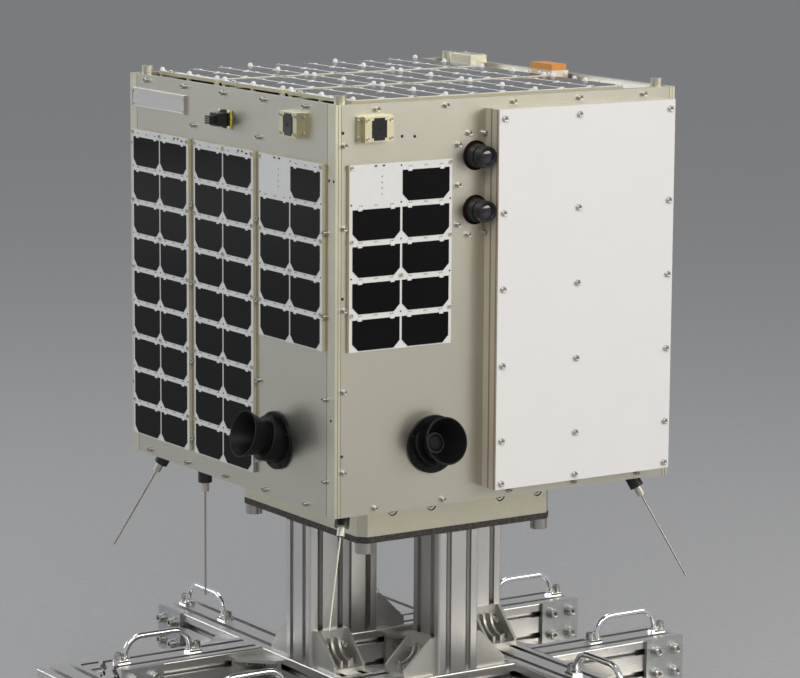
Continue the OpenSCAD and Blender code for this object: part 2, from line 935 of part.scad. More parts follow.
// The left and right rails run the whole way, and the front and rear rails fit between them
module ground_rail(side) {
    whole = side % 2 == 0;
    half_l = rail_centre + (whole ? half_beam : -half_beam);
    quarter(side)
        beam_y(-rail_centre, -half_l, half_l, rail_z);
}

// ---------- Brackets, plates, handles and feet ----------

// An angle bracket in the corner at the origin, with its legs along +X and +Z
module angle_bracket() {
    translate([0, -bracket_w / 2, 0])
        cube([bracket_leg, bracket_w, bracket_t]);
    translate([0, -bracket_w / 2, 0])
        cube([bracket_t, bracket_w, bracket_leg]);
    for (side = [-1, 1])
        translate([0, (side * (bracket_w - gusset_t) + gusset_t) / 2, 0])
            sheet(gusset_t)
                polygon([
                    [0, 0],
                    [bracket_leg, 0],
                    [bracket_leg, gusset_lip],
                    [gusset_lip, bracket_leg],
                    [0, bracket_leg]
                ]);
}

// A bracket that lies on its side at the corner x, y, half way up the beams
module level_bracket(x, y, turn)
    translate([x, y, beam_z + half_beam])
        rotate([0, 0, turn])
            rotate([90, 0, 0])
                angle_bracket();

module angle_brackets()
    color(CAST)
        for (side = [0:3])
            quarter(side) {
                for (way = [-1, 1])
                    translate([-column_offset, way * half_beam, column_z])
                        rotate([0, 0, way * 90])
                            angle_bracket();
                level_bracket(-beam_outer, beam_inner, -90);
                level_bracket(-beam_outer, beam_outer, 180);
                level_bracket(-beam_inner, beam_inner, 0);
            }

// A plate on the side of a beam end, flush with the end and with the beam's top
module joining_plates()
    color(ZINC)
        for (signs = CORNER_SIGNS) {
            end_x = signs[0] * (base_reach - plate_w / 2) - plate_w / 2;
            side_y = signs[1] * column_offset - half_beam - plate_t;
            end_y = signs[1] * (base_reach - plate_w / 2) - plate_w / 2;
            side_x = signs[0] * column_offset - half_beam - plate_t;
            translate([end_x, side_y, column_z - plate_h])
                cube([plate_w, plate_t, plate_h]);
            translate([side_x, end_y, column_z - plate_h])
                cube([plate_t, plate_w, plate_h]);
        }

// A bow handle along X that stands on Z = 0
module bow_handle() {
    rise = handle_h - handle_bar_d / 2;
    leg_x = handle_span / 2;
    bend_x = leg_x - handle_bend_r;
    for (side = [-1, 1]) {
        translate([side * leg_x, 0, 0])
            cylinder(d = handle_bar_d, h = rise - handle_bend_r);
        translate([side * bend_x, 0, rise - handle_bend_r])
            rotate([90, 0, side > 0 ? 0 : 180])
                rotate_extrude(angle = 90)
                    translate([handle_bend_r, 0])
                        circle(d = handle_bar_d);
        translate([side * (leg_x + pad_reach), 0, 0])
            cylinder(d = pad_w, h = pad_t);
        translate([side * (leg_x + pad_reach / 2) - (pad_reach + pad_w / 2) / 2, -pad_w / 2, 0])
            cube([pad_reach + pad_w / 2, pad_w, pad_t]);
    }
    translate([-bend_x, 0, rise])
        rotate([0, 90, 0])
            cylinder(d = handle_bar_d, h = 2 * bend_x);
}

// A handle on top of the base, over a beam that runs along Y toward the end at way * base_reach
module handle_on_beam(x, way)
    translate([x, way * (base_reach - handle_inset), column_z])
        rotate([0, 0, 90])
            bow_handle();

module beam_handles()
    color(CHROME)
        for (side = [0:3])
            quarter(side)
                handle_on_beam(-column_offset, 1);

module arm_handles()
    color(CHROME)
        for (side = [0:3])
            quarter(side)
                handle_on_beam(-column_offset, -1);

module levelling_feet()
    color(BLACK)
        for (signs = CORNER_SIGNS)
            translate([signs[0] * rail_centre, signs[1] * rail_centre, 0]) {
                cylinder(d = foot_pad_d, h = foot_pad_h);
                cylinder(d = foot_stud_d, h = foot_h);
                translate([0, 0, foot_h - foot_nut_h])
                    cylinder(d = foot_nut_w / cos(30), h = foot_nut_h, $fn = 6);
            }

// ---------- Assembly ----------

front_panel();
left_panel();
right_panel();
rear_panel();
top_panel();
bottom_panel();
for (i = [0:3])
    corner_post(CORNER_SIGNS[i]);
equipment_block();
top_bosses();
left_solar_panel_rear();
left_solar_panel_middle();
left_solar_panel_front();
front_solar_panel();
top_solar_panels();
three_boards(RIGHT);  // right_solar_panels
three_boards(REAR);  // rear_solar_panels
radiator_base();
radiator_middle();
radiator_front();
radiator_films();
earth_cameras();
left_star_tracker();
front_star_tracker();
left_sun_sensor();
front_sun_sensor();
nameplate();
service_connector();
patch_antenna();
receiver_box();
whip_antennas();
monopole_antenna();
adapter_ring();
insulating_plate();
adapter_screws();
for (i = [0:3]) {
    stand_column(i);
    base_beam(i);
    outrigger_arm(i);
    ground_rail(i);
}
angle_brackets();
joining_plates();
beam_handles();
arm_handles();
levelling_feet();
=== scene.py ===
"""Builds the finish, the small hardware, the stage and the camera of a cube-shaped
microsatellite on its display stand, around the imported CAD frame. The frame is in metres;
shapes and places on its faces are written in millimetres."""

import math

import bpy
import numpy as np
from mathutils import Matrix, Vector


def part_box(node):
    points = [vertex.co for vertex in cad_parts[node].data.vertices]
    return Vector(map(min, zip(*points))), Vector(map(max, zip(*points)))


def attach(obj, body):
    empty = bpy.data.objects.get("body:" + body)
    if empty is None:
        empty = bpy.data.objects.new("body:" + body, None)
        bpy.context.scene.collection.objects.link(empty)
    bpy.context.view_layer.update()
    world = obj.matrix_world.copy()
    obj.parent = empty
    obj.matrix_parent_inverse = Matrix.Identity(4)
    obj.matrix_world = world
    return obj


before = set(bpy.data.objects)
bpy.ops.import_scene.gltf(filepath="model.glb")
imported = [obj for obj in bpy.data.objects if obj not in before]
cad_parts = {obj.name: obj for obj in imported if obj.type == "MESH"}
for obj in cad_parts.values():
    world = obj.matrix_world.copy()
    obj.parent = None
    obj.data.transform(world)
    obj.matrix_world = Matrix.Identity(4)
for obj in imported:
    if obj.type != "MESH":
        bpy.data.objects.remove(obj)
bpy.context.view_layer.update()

bl_info = {
    "name": "Microsatellite finish",
    "version": (1, 0, 0),
    "blender": (4, 5, 0),
    "location": "3D View > Sidebar > Satellite",
    "description": "Adds finishes, screws, optics and a studio to a microsatellite model",
    "category": "Object",
}

MM = 0.001

# ---------- Places taken from the frame ----------


def low(node):
    """Lowest corner of a CAD node."""
    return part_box(node)[0]


def high(node):
    """Highest corner of a CAD node."""
    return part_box(node)[1]


def middle(node):
    """Middle of a CAD node's box."""
    return (low(node) + high(node)) / 2


BODY_HALF = high("corner_post_rear_right").x
BODY_Z = low("bottom_panel").z
BODY_H = high("front_panel").z - BODY_Z
DECK_TOP = high("top_panel").z
POST_W = high("corner_post_rear_right").y - low("corner_post_rear_right").y
WALL_T = high("corner_post_rear_right").x - low("corner_post_rear_right").x
BEAM_W = high("base_beam_left").z - low("base_beam_left").z
BEAM_TOP = high("base_beam_left").z
COLUMN_X = -middle("stand_column_left").x
REACH = high("base_beam_left").y
HANDLE_INSET = 70 * MM
HANDLE_Y = REACH - HANDLE_INSET
BOARD_W = high("left_solar_panel_middle").y - low("left_solar_panel_middle").y
BOARD_PITCH = middle("left_solar_panel_rear").y - middle("left_solar_panel_middle").y

FRONT, RIGHT, REAR, LEFT = 0, 90, 180, -90
CORNERS = ((-1, -1), (1, -1), (1, 1), (-1, 1))
SIDES = ("left", "rear", "right", "front")

# The boards of each node: the face they lie on (None is the top) and how many there are.
BOARDS = {
    "left_solar_panel_rear": (LEFT, 1),
    "left_solar_panel_middle": (LEFT, 1),
    "left_solar_panel_front": (LEFT, 1),
    "front_solar_panel": (FRONT, 1),
    "right_solar_panels": (RIGHT, 3),
    "rear_solar_panels": (REAR, 3),
    "top_solar_panels": (None, 3),
}
SHORT_BOARDS = ("left_solar_panel_front", "front_solar_panel")

# Cells on a board, in millimetres: thickness, pitch and first edge of the rows, what the
# last row leaves free, half the pitch of the columns, and the seam above each row.
CELL_T = 0.6
ROW_PITCH = 43.9
FIRST_CELL = 9.5
LAST_MARGIN = 5.3
CELL_X = 35.1
SEAM_Y = 3.7

# Antennas, in millimetres: foot from the body's corner, and lengths of cup and ferrule.
WHIP_INSET = 34.5
CUP_L = 21
FERRULE_L = 12
WHIP_LEAN = math.radians(30)

# Star trackers: face, place on it, whole length and drum length in millimetres.
TRACKERS = {"left_star_tracker": (LEFT, 117, 73.7, 50, 22),
            "front_star_tracker": (FRONT, -111, 77.7, 34, 9)}
TRACKER_PITCH = math.radians(15)


def at(matrix, x, y, z=0.0):
    """A matrix moved by millimetres along its own axes."""
    return matrix @ Matrix.Translation((x * MM, y * MM, z * MM))


def face_frame(turn):
    """Matrix of one face: X runs right along the face, Y up, Z outward. The origin is at
    the middle of the face's lower edge, and turn is the face's angle from the front."""
    front = Matrix(((1, 0, 0, 0), (0, 0, -1, -BODY_HALF), (0, 1, 0, BODY_Z), (0, 0, 0, 1)))
    return Matrix.Rotation(math.radians(turn), 4, "Z") @ front


def on_face(turn, x, y, out=0.0):
    """Matrix of a point on a face: millimetres right of its middle, above the walls' foot
    and outward."""
    return at(face_frame(turn), x, y, out)


def node_ends(plane, node):
    """A node's two corners as seen from a plane, the lowest numbers first."""
    back = plane.inverted()
    ends = np.array([back @ Vector(corner) for corner in (low(node), high(node))])
    return ends.min(axis=0), ends.max(axis=0)


def node_frame(turn, node):
    """A matrix at the middle of a face-mounted node, on its outermost plane."""
    first, last = node_ends(face_frame(turn), node)
    centre = (first + last) / 2
    return face_frame(turn) @ Matrix.Translation((centre[0], centre[1], last[2]))


def board_frames(node):
    """Each board of a node: a matrix with X right, Y up and Z outward whose origin is the
    middle of the board's upper edge, and the number of its rows of cells."""
    turn, count = BOARDS[node]
    plane = Matrix.Rotation(math.pi / 2, 4, "Z") if turn is None else face_frame(turn)
    (left, foot, _), (_, top, out) = node_ends(plane, node)
    rows = round(((top - foot) / MM - LAST_MARGIN) / ROW_PITCH)
    return [
        (plane @ Matrix.Translation(
            (left + BOARD_W / 2 + i * BOARD_PITCH, top, out - CELL_T * MM)), rows)
        for i in range(count)]


def tracker_frame(node):
    """A tracker's foot on its face, the same turned so that Z is the tracker's axis, and
    its whole length and drum length."""
    turn, x, y, whole, drum = TRACKERS[node]
    base = on_face(turn, x, y)
    return base, base @ Matrix.Rotation(-TRACKER_PITCH, 4, "X"), whole, drum


def camera_frames():
    """The two cameras' axes on the front face."""
    housing = 56 * MM
    first, last = low("earth_cameras"), high("earth_cameras")
    return [face_frame(FRONT) @ Matrix.Translation(((first.x + last.x) / 2, z - BODY_Z, 0))
            for z in (last.z - housing / 2, first.z + housing / 2)]


def quarter_turns():
    """The four turns that carry the stand's left side to its other sides."""
    return [Matrix.Rotation(-side * math.pi / 2, 4, "Z") for side in range(4)]


def bracket_frames():
    """Each angle bracket: its corner at the origin and its legs along X and Z."""
    half = BEAM_W / 2
    inner, outer = COLUMN_X - half, COLUMN_X + half
    upright = [
        Matrix.Translation((-COLUMN_X, way * half, BEAM_TOP))
        @ Matrix.Rotation(way * math.pi / 2, 4, "Z") for way in (-1, 1)]
    level = [
        Matrix.Translation((x, y, BEAM_TOP - half))
        @ Matrix.Rotation(math.radians(turn), 4, "Z") @ Matrix.Rotation(math.pi / 2, 4, "X")
        for x, y, turn in ((-outer, inner, -90), (-outer, outer, 180), (-inner, inner, 0))]
    return [turn @ place for turn in quarter_turns() for place in upright + level]


def plate_frames():
    """Each joining plate: its middle at the origin and Z outward from its face."""
    half, plate_t = BEAM_W / 2, 5 * MM
    forward = Matrix.Rotation(math.pi / 2, 4, "X")
    leftward = Matrix.Rotation(-math.pi / 2, 4, "Z") @ forward
    frames = []
    for x, y in CORNERS:
        for place, turned in (
                ((x * (REACH - half), y * COLUMN_X - half - plate_t), forward),
                ((x * COLUMN_X - half - plate_t, y * (REACH - half)), leftward)):
            frames.append(Matrix.Translation((*place, BEAM_TOP - half)) @ turned)
    return frames


# ---------- Shapes, in millimetres ----------


def joined(shapes):
    """Puts shapes together: each is (points, faces), and later faces count on."""
    points, faces, start = [], [], 0
    for some_points, some_faces in shapes:
        points.append(some_points)
        faces += [tuple(int(i) + start for i in face) for face in some_faces]
        start += len(some_points)
    return np.concatenate(points), faces


def repeated(shape, frames):
    """The same shape at each of the frames: every point times every matrix."""
    points, faces = shape
    matrices = np.array([np.array(matrix) for matrix in frames])
    moved = np.einsum("fij,pj->fpi", matrices[:, :3, :3], points) + matrices[:, None, :3, 3]
    starts = np.arange(len(matrices)) * len(points)
    made = [tuple(i + int(start) for i in face) for start in starts for face in faces]
    return moved.reshape(-1, 3), made


def bands(rings, sides, closed):
    """Quads between neighbouring rings, and from the last back to the first if closed."""
    ring, side = np.meshgrid(
        np.arange(rings if closed else rings - 1), np.arange(sides), indexing="ij")
    after, onward = (side + 1) % sides, (ring + 1) % rings
    quads = np.stack([ring * sides + side, ring * sides + after,
                      onward * sides + after, onward * sides + side], axis=-1)
    return [tuple(quad) for quad in quads.reshape(-1, 4).tolist()]


def capped(rings, sides):
    """Bands between rings with a flat face on the first and on the last."""
    last = (rings - 1) * sides
    return [*bands(rings, sides, False), tuple(range(sides - 1, -1, -1)),
            tuple(range(last, last + sides))]


def spun(table, radius, sides):
    """Points of rings about Z: (r cos a, r sin a, height) for each row and angle a."""
    angle = np.arange(sides) * 2 * math.pi / sides
    height = np.repeat(table[:, 1:2], sides, axis=1)
    points = np.stack([radius * np.cos(angle), radius * np.sin(angle), height], axis=-1)
    return points.reshape(-1, 3) * MM


def turned_shape(rows, sides=24):
    """A closed surface of revolution about Z. Each row is (radius, height) or
    (radius, height, hex): radius times 1 for a round ring, or times
    cos 30 / cos(angle within its sixth) where hex is 1, which makes a hexagon of that
    corner radius. The first and last rings are closed with flat faces."""
    table = np.array([tuple(row) + (0,) * (3 - len(row)) for row in rows], float)
    angle = np.arange(sides) * 2 * math.pi / sides
    sixth = (angle + math.pi / 6) % (math.pi / 3) - math.pi / 6
    hexagon = math.cos(math.pi / 6) / np.cos(sixth)
    radius = table[:, :1] * (1 + table[:, 2:3] * (hexagon - 1))
    return spun(table, radius, sides), capped(len(table), sides)


def ring_shape(rows, sides=48):
    """A closed ring about Z: the closed outline rows of (radius, height), listed
    anticlockwise, is carried once round the axis."""
    table = np.array(rows, float)
    return spun(table, table[:, :1], sides), bands(len(table), sides, True)


def prism(outline, bottom, top, rim=0.0):
    """A plate: the outline, listed anticlockwise, from one height to another. With a rim,
    the outline shrinks toward its middle by that much at the top, as a small bevel."""
    flat = np.array(outline, float)
    centre = flat.mean(axis=0)
    away = flat - centre
    reach = np.maximum(np.linalg.norm(away, axis=1, keepdims=True), 1e-6)
    levels = [(flat, bottom), (flat, top - rim)]
    if rim:
        levels.append((centre + away * (1 - rim / reach), top))
    points = np.concatenate(
        [np.column_stack([ring, np.full(len(ring), height)]) for ring, height in levels])
    return points * MM, capped(len(levels), len(flat))


def box(width, height, bottom, top, rim=0.0, x=0.0, y=0.0):
    """A rectangular plate centred on x and y."""
    u, v = width / 2, height / 2
    return prism([(x - u, y - v), (x + u, y - v), (x + u, y + v), (x - u, y + v)],
                 bottom, top, rim)


def cap_screw(diameter, height, socket, base=0.0):
    """A socket head: a drum with a bevelled rim and a hexagonal hollow."""
    r, bevel, hollow, top = diameter / 2, diameter * 0.06, socket / 2, base + height
    return turned_shape([
        (r, base), (r, top - bevel), (r - bevel, top), (hollow + bevel / 2, top),
        (hollow, top - bevel / 2, 1), (hollow, base + height * 0.45, 1)])


def pan_screw(diameter, height, socket, base=0.0):
    """A domed head round a small hexagonal hollow: at the share s of its radius, its height
    is (1 - 0.55 s^4) of the whole."""
    r, hollow = diameter / 2, socket / 2
    dome = [(r * s, base + height * (1 - 0.55 * s ** 4)) for s in (1.0, 0.92, 0.8, 0.65)]
    return turned_shape(
        [(r, base), *dome, (hollow + 0.06 * r, base + height),
         (hollow, base + height * 0.95, 1), (hollow, base + height * 0.5, 1)], sides=18)


def washer(outer, inner, thickness):
    """A flat ring with a bevelled outer edge."""
    edge = thickness * 0.3
    return ring_shape(
        [(inner / 2, 0), (outer / 2, 0), (outer / 2, thickness - edge),
         (outer / 2 - edge, thickness), (inner / 2, thickness)], sides=24)


def lens(radius, foot, lift, rise):
    """A shallow dome on a short drum: radius times cos t, height foot + lift + rise sin t."""
    return turned_shape([(radius, foot)] + [
        (radius * math.cos(t), foot + lift + rise * math.sin(t))
        for t in np.linspace(0, 1.5, 8)], 32)


def piece(name, finish, shape, frames=(Matrix(),), smooth=35):
    """Makes the shape, repeated at the frames, a piece that rides on the body, with its
    finish and with edges sharper than the given angle kept crisp."""
    points, faces = repeated(shape, frames)
    mesh = bpy.data.meshes.new(name)
    mesh.from_pydata(points.tolist(), [], faces)
    mesh.validate()
    mesh.materials.append(look(finish))
    if smooth:
        mesh.shade_smooth()
        mesh.set_sharp_from_angle(angle=math.radians(smooth))
    made = bpy.data.objects.new(name, mesh)
    bpy.context.scene.collection.objects.link(made)
    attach(made, "root")


def pieces(prefix, rows):
    """Pieces of one slot: each row is the end of the name, the finish, the shape and the
    frames that it stands at."""
    for name, finish, shape, frames in rows:
        piece(prefix + name, finish, shape, frames)


# ---------- Finishes ----------


def math_node(operation, swapped=False):
    """A method of Wire that adds a Math node with this operation: the wire comes first, or
    last where swapped."""

    def method(self, *others):
        values = (*others, self) if swapped else (self, *others)
        return self.finish.node("Math", {"operation": operation}, dict(enumerate(values)))

    return method


class Wire:
    """A socket of a finish. Python's operators on it add Math nodes."""

    def __init__(self, finish, socket):
        self.finish = finish
        self.socket = socket

    __add__ = __radd__ = math_node("ADD")
    __sub__ = math_node("SUBTRACT")
    __rsub__ = math_node("SUBTRACT", swapped=True)
    __mul__ = __rmul__ = math_node("MULTIPLY")
    __truediv__ = math_node("DIVIDE")
    __rtruediv__ = math_node("DIVIDE", swapped=True)
    __mod__ = math_node("FLOORED_MODULO")
    __gt__ = math_node("GREATER_THAN")
    __lt__ = math_node("LESS_THAN")
    __abs__ = math_node("ABSOLUTE")

    def waves(self, pitch):
        """A sawtooth folded once: 0 at the middle of each pitch, 0.5 at its ends."""
        return abs((self / pitch) % 1.0 - 0.5)


class Finish:
    """A material with one principled shader, made node by node."""

    def __init__(self, name, **fixed):
        self.material = bpy.data.materials.new(name)
        self.material.use_nodes = True
        self.tree = self.material.node_tree
        self.tree.nodes.clear()
        self.shader = self.tree.nodes.new("ShaderNodeBsdfPrincipled")
        output = self.tree.nodes.new("ShaderNodeOutputMaterial")
        self.tree.links.new(self.shader.outputs[0], output.inputs[0])
        self.set(**fixed)
        self.place = self.node("TexCoord", output="Object")

    def set(self, **sockets):
        """Sets or links the shader's sockets, where an underscore in a name stands for a
        space, and returns the material."""
        for name, value in sockets.items():
            self._feed(self.shader.inputs[name.replace("_", " ")], value)
        return self.material

    def _feed(self, socket, value):
        if isinstance(value, Wire):
            self.tree.links.new(value.socket, socket)
        elif socket.type == "RGBA" and len(value) == 3:
            socket.default_value = (*value, 1.0)
        else:
            socket.default_value = value

    def node(self, kind, settings=None, sockets=None, output=0):
        """Adds a node of this kind: settings first, then the values or links of its sockets
        by name or number."""
        made = self.tree.nodes.new("ShaderNode" + kind)
        for name, value in (settings or {}).items():
            setattr(made, name, value)
        for name, value in (sockets or {}).items():
            self._feed(made.inputs[name], value)
        return Wire(self, made.outputs[output])

    def vector(self, operation, first, second, output=0):
        """A vector calculation on two vectors."""
        return self.node("VectorMath", {"operation": operation}, {0: first, 1: second}, output)

    def axes(self, vector):
        """The three parts of a vector."""
        outputs = self.node("SeparateXYZ", {}, {0: vector}).socket.node.outputs
        return tuple(Wire(self, outputs[i]) for i in range(3))

    def normal(self, axis):
        """One part of the surface's own normal."""
        return self.axes(self.node("NewGeometry", output="True Normal"))[axis]

    def noise(self, scale, detail=3.0, roughness=0.55, stretch=None):
        """Fractal noise between 0 and 1 at the object's own coordinates."""
        vector = self.vector("MULTIPLY", self.place, stretch) if stretch else self.place
        return self.node("TexNoise", {}, {
            "Vector": vector, "Scale": scale, "Detail": detail, "Roughness": roughness})

    def blend(self, share, first, second):
        """Mixes two colours, which are inputs 6 and 7 and output 2 of a Mix node."""
        return self.node("Mix", {"data_type": "RGBA"}, {0: share, 6: first, 7: second}, 2)

    def shades(self, share, base, dark, bright):
        """Mixes a darker and a lighter shade of one colour."""
        return self.blend(share, shade(base, dark), shade(base, bright))

    def bump(self, height, strength, distance=0.5):
        """A bumped normal from a height, with the distance in millimetres."""
        return self.node("Bump", {}, {
            "Height": height, "Strength": strength, "Distance": distance * MM})


def colour(value):
    """A colour, or the one of that name on the panel."""
    if isinstance(value, str):
        return tuple(getattr(bpy.context.scene.satellite_colours, value))
    return value


def shade(base, factor):
    """A colour made lighter or darker."""
    return tuple(channel * factor for channel in base)


METAL = {"Metallic": 1.0}
# Each skin: its noises as (scale, detail, roughness, stretch); what each noise weighs in
# the tone, in the roughness and in the relief; the darkest and the lightest shade; the
# bump's strength and distance; and the shader's fixed values.
SKINS = {
    "rolled": (((5, 4), (420, 2, 0.55, (1, 1, 0.03)), (60, 6, 0.7, (1, 1, 0.35))),
               (0.10, 0.05, 0.05), (0.10, 0, 0.12), (0, 0.6, 0.4), (0.80, 1.20),
               (0.05, 0.5), METAL),
    "polished": (((40, 5, 0.55, (1, 0.2, 1)),),
                 (1,), (0.07,), (1,), (1, 1), (0.02, 0.5), METAL),
    "film": (((120, 3, 0.55, (1, 12, 0.3)),),
             (1,), (0.2,), (1,), (0.6, 1.3), (0.2, 0.5), {"Specular_IOR_Level": 0.6}),
    "black": (((900, 3), (25, 4)),
              (0, 1), (0.10, 0.12), (1, 0), (0.7, 1.5), (0.15, 0.2),
              {"Specular_IOR_Level": 0.25}),
    "coated": (((22, 4), (300, 3)),
               (0.7, 0.3), (0.14, 0.08), (0, 1), (0.82, 1.12), (0.08, 0.3), METAL),
    "cast": (((420, 4, 0.65), (30, 4)),
             (0.4, 0.6), (0.2, 0), (1, 0), (0.72, 1.15), (0.25, 0.3), {"Metallic": 0.85}),
    "chrome": (((120, 5),), (1,), (0.08,), (1,), (1, 1), (0.02, 0.3), METAL),
    "steel": (((800, 3),), (1,), (0.2,), (1,), (0.8, 1.2), (0.05, 0.2), METAL),
    "brushed": (((900, 3, 0.55, (1, 0.02, 1)),),
                (1,), (0.14,), (1,), (1, 1), (0.10, 0.2), METAL),
    "moulded": (((80, 4), (600, 2)),
                (1, 0), (0.1, 0), (0, 1), (0.85, 1.1), (0.08, 0.2),
                {"Specular_IOR_Level": 0.45}),
}


def weighed(noises, weights, centre=0.5):
    """The centre plus each noise's distance from a half times its weight."""
    total = centre
    for noise, weight in zip(noises, weights):
        if weight:
            total = (noise - 0.5) * weight + total
    return total


def grained(name, skin, base, rough, strength=None):
    """A finish of one skin. The base is one colour, shaded both ways, or a pair."""
    scales, tone, gloss, relief, (dark, bright), (bumped, distance), fixed = SKINS[skin]
    finish = Finish(name, **fixed)
    noises = [finish.noise(*scale) for scale in scales]
    base = colour(base)
    pair = base if len(base) == 2 else (shade(base, dark), shade(base, bright))
    return finish.set(
        Base_Color=finish.blend(weighed(noises, tone), *pair),
        Roughness=weighed(noises, gloss, rough),
        Normal=finish.bump(weighed(noises, relief), bumped if strength is None else strength,
                           distance))


def solar_board(name, axis, sign, node):
    """Black cells on a white board. A point is on a cell where it stands higher than the
    board, and on the board's side where it lies lower. The cells differ a little in tone
    and have fine fingers across them."""
    outer = (high(node) if sign > 0 else low(node))[axis] * sign
    tile = CELL_T * MM
    finish = Finish(name, Coat_Roughness=0.03, Specular_IOR_Level=0.06)
    parts = finish.axes(finish.place)
    height = parts[axis] * sign
    on_cell = height > outer - tile * 0.5
    on_side = height < outer - tile - 0.25 * MM
    across, along = [parts[i] for i in range(3) if i != axis]
    fingers = along.waves(1.1 * MM) > 0.44
    tints = finish.noise(1.0, 0.0, stretch=(15.0, 15.0, 22.0))
    dark = finish.blend(tints, colour("cell_dark"), colour("cell_light"))
    lined = finish.blend(fingers * 0.05, dark, (0.08, 0.08, 0.10))
    grime = finish.noise(90.0, 5.0)
    weave = across.waves(0.8 * MM) + along.waves(0.8 * MM)
    flat = finish.blend(on_side, finish.shades(grime, colour("board"), 0.90, 1.0),
                        finish.shades(grime, colour("board_edge"), 0.8, 1.0))
    return finish.set(
        Base_Color=finish.blend(on_cell, flat, lined),
        Roughness=0.42 - on_cell * 0.34 + grime * 0.05,
        Coat_Weight=on_cell * 0.03,
        Normal=finish.bump(weave * (1 - on_cell) * 0.3 + grime * 0.2, 0.06, 0.2))


def radiator_white(name):
    """White paint: slight mottling, with a pale cream edge where the sheet's sides show."""
    finish = Finish(name)
    facing = finish.normal(1) < -0.5
    mottle = finish.noise(30.0, 5.0, 0.6)
    orange_peel = finish.noise(700.0, 2.0)
    return finish.set(
        Base_Color=finish.blend(
            facing, finish.shades(mottle, colour("radiator_edge"), 0.85, 1.0),
            finish.shades(mottle, colour("radiator"), 0.96, 1.0)),
        Roughness=0.5 + mottle * 0.1,
        Normal=finish.bump(orange_peel, 0.04, 0.2))


def extruded_metal(name, axis):
    """Anodised extrusion: die lines run along the bar, and the sawn ends are brighter."""
    stretch = [1.0, 1.0, 1.0]
    stretch[axis] = 0.012
    finish = Finish(name, Metallic=1.0)
    lines = finish.noise(650.0, stretch=stretch)
    cloud = finish.noise(9.0)
    sawn = abs(finish.normal(axis)) > 0.9
    base = colour("extrusion")
    tone = weighed((lines, cloud), (0.35, 0.25))
    return finish.set(
        Base_Color=finish.blend(sawn, finish.shades(tone, base, 0.84, 1.12), shade(base, 1.1)),
        Roughness=weighed((lines, cloud), (0.12, 0.08), 0.30) + sawn * 0.12,
        Normal=finish.bump(lines, 0.10, 0.3))


def plated_zinc(name):
    """Zinc plating: bluish spangles with faint rainbow staining."""
    finish = Finish(name, Metallic=1.0)
    spangle = finish.axes(finish.node(
        "TexVoronoi", {}, {"Vector": finish.place, "Scale": 260.0}, "Color"))[0]
    stain = finish.noise(14.0, 4.0)
    base = colour("zinc")
    stained = tuple(part * factor for part, factor in zip(base, (1.2, 1.15, 1.02)))
    return finish.set(
        Base_Color=finish.blend(stain * 0.7 + spangle * 0.3, shade(base, 0.8), stained),
        Roughness=0.30 + spangle * 0.10 + stain * 0.1,
        Normal=finish.bump(stain, 0.06, 0.4))


def laminate(name):
    """Dark fibre laminate: thin brown and black layers, mottled with pale fibre ends."""
    finish = Finish(name, Specular_IOR_Level=0.4)
    layers = finish.noise(900.0, 2.0, stretch=(0.05, 0.05, 1.0))
    fibres = finish.noise(330.0, 5.0, stretch=(0.6, 0.6, 1.0))
    specks = finish.node("MapRange", {"interpolation_type": "SMOOTHSTEP"}, {
        "Value": fibres, "From Min": 0.46, "From Max": 0.62})
    base = colour("laminate")
    return finish.set(
        Base_Color=finish.blend(specks * 0.75, finish.shades(layers, base, 0.7, 1.5),
                                shade(base, 2.8)),
        Roughness=0.45 + fibres * 0.2,
        Normal=finish.bump(layers * 0.5 + fibres * 0.5, 0.25, 0.4))


def antenna_finish(name, foot, direction, mirrored):
    """A black cup, a pale ferrule and a steel rod, told apart by the distance from the foot
    along the antenna. Where mirrored, all four corners are folded onto one."""
    finish = Finish(name)
    place = finish.node("VectorMath", {"operation": "ABSOLUTE"}, {
        0: finish.place}) if mirrored else finish.place
    along = finish.vector(
        "DOT_PRODUCT", finish.vector("SUBTRACT", place, foot), direction, "Value")
    past_cup = along > CUP_L * MM
    past_ferrule = along > (CUP_L + FERRULE_L) * MM
    grain = finish.noise(700.0)
    cup = finish.blend(grain, (0.010, 0.010, 0.011), (0.022, 0.022, 0.023))
    ferrule = finish.blend(grain, (0.52, 0.50, 0.42), (0.70, 0.67, 0.58))
    rod = finish.blend(grain, (0.36, 0.34, 0.29), (0.48, 0.46, 0.40))
    return finish.set(
        Base_Color=finish.blend(past_ferrule, finish.blend(past_cup, cup, ferrule), rod),
        Metallic=past_cup * 0.5 + past_ferrule * 0.5,
        Roughness=0.42 - past_ferrule * 0.04 + (grain - 0.5) * 0.1,
        Normal=finish.bump(
            along.waves(2.2 * MM) * (1 - past_cup) + grain * 0.2, 0.25, 0.4))


def patch_finish(name):
    """An orange moulding over a pale coated bracket, told apart by height."""
    finish = Finish(name, Specular_IOR_Level=0.4)
    bracket_h = 9.5
    upper = finish.axes(finish.place)[2] > DECK_TOP + bracket_h * MM
    grain, cloud = finish.noise(500.0), finish.noise(60.0, 4.0)
    bracket = finish.blend(cloud, (0.58, 0.54, 0.42), (0.74, 0.70, 0.58))
    return finish.set(
        Base_Color=finish.blend(
            upper, bracket, finish.shades(cloud, colour("patch"), 0.85, 1.12)),
        Metallic=(1 - upper) * 0.8,
        Roughness=0.42 + grain * 0.1,
        Normal=finish.bump(grain, 0.12, 0.3))


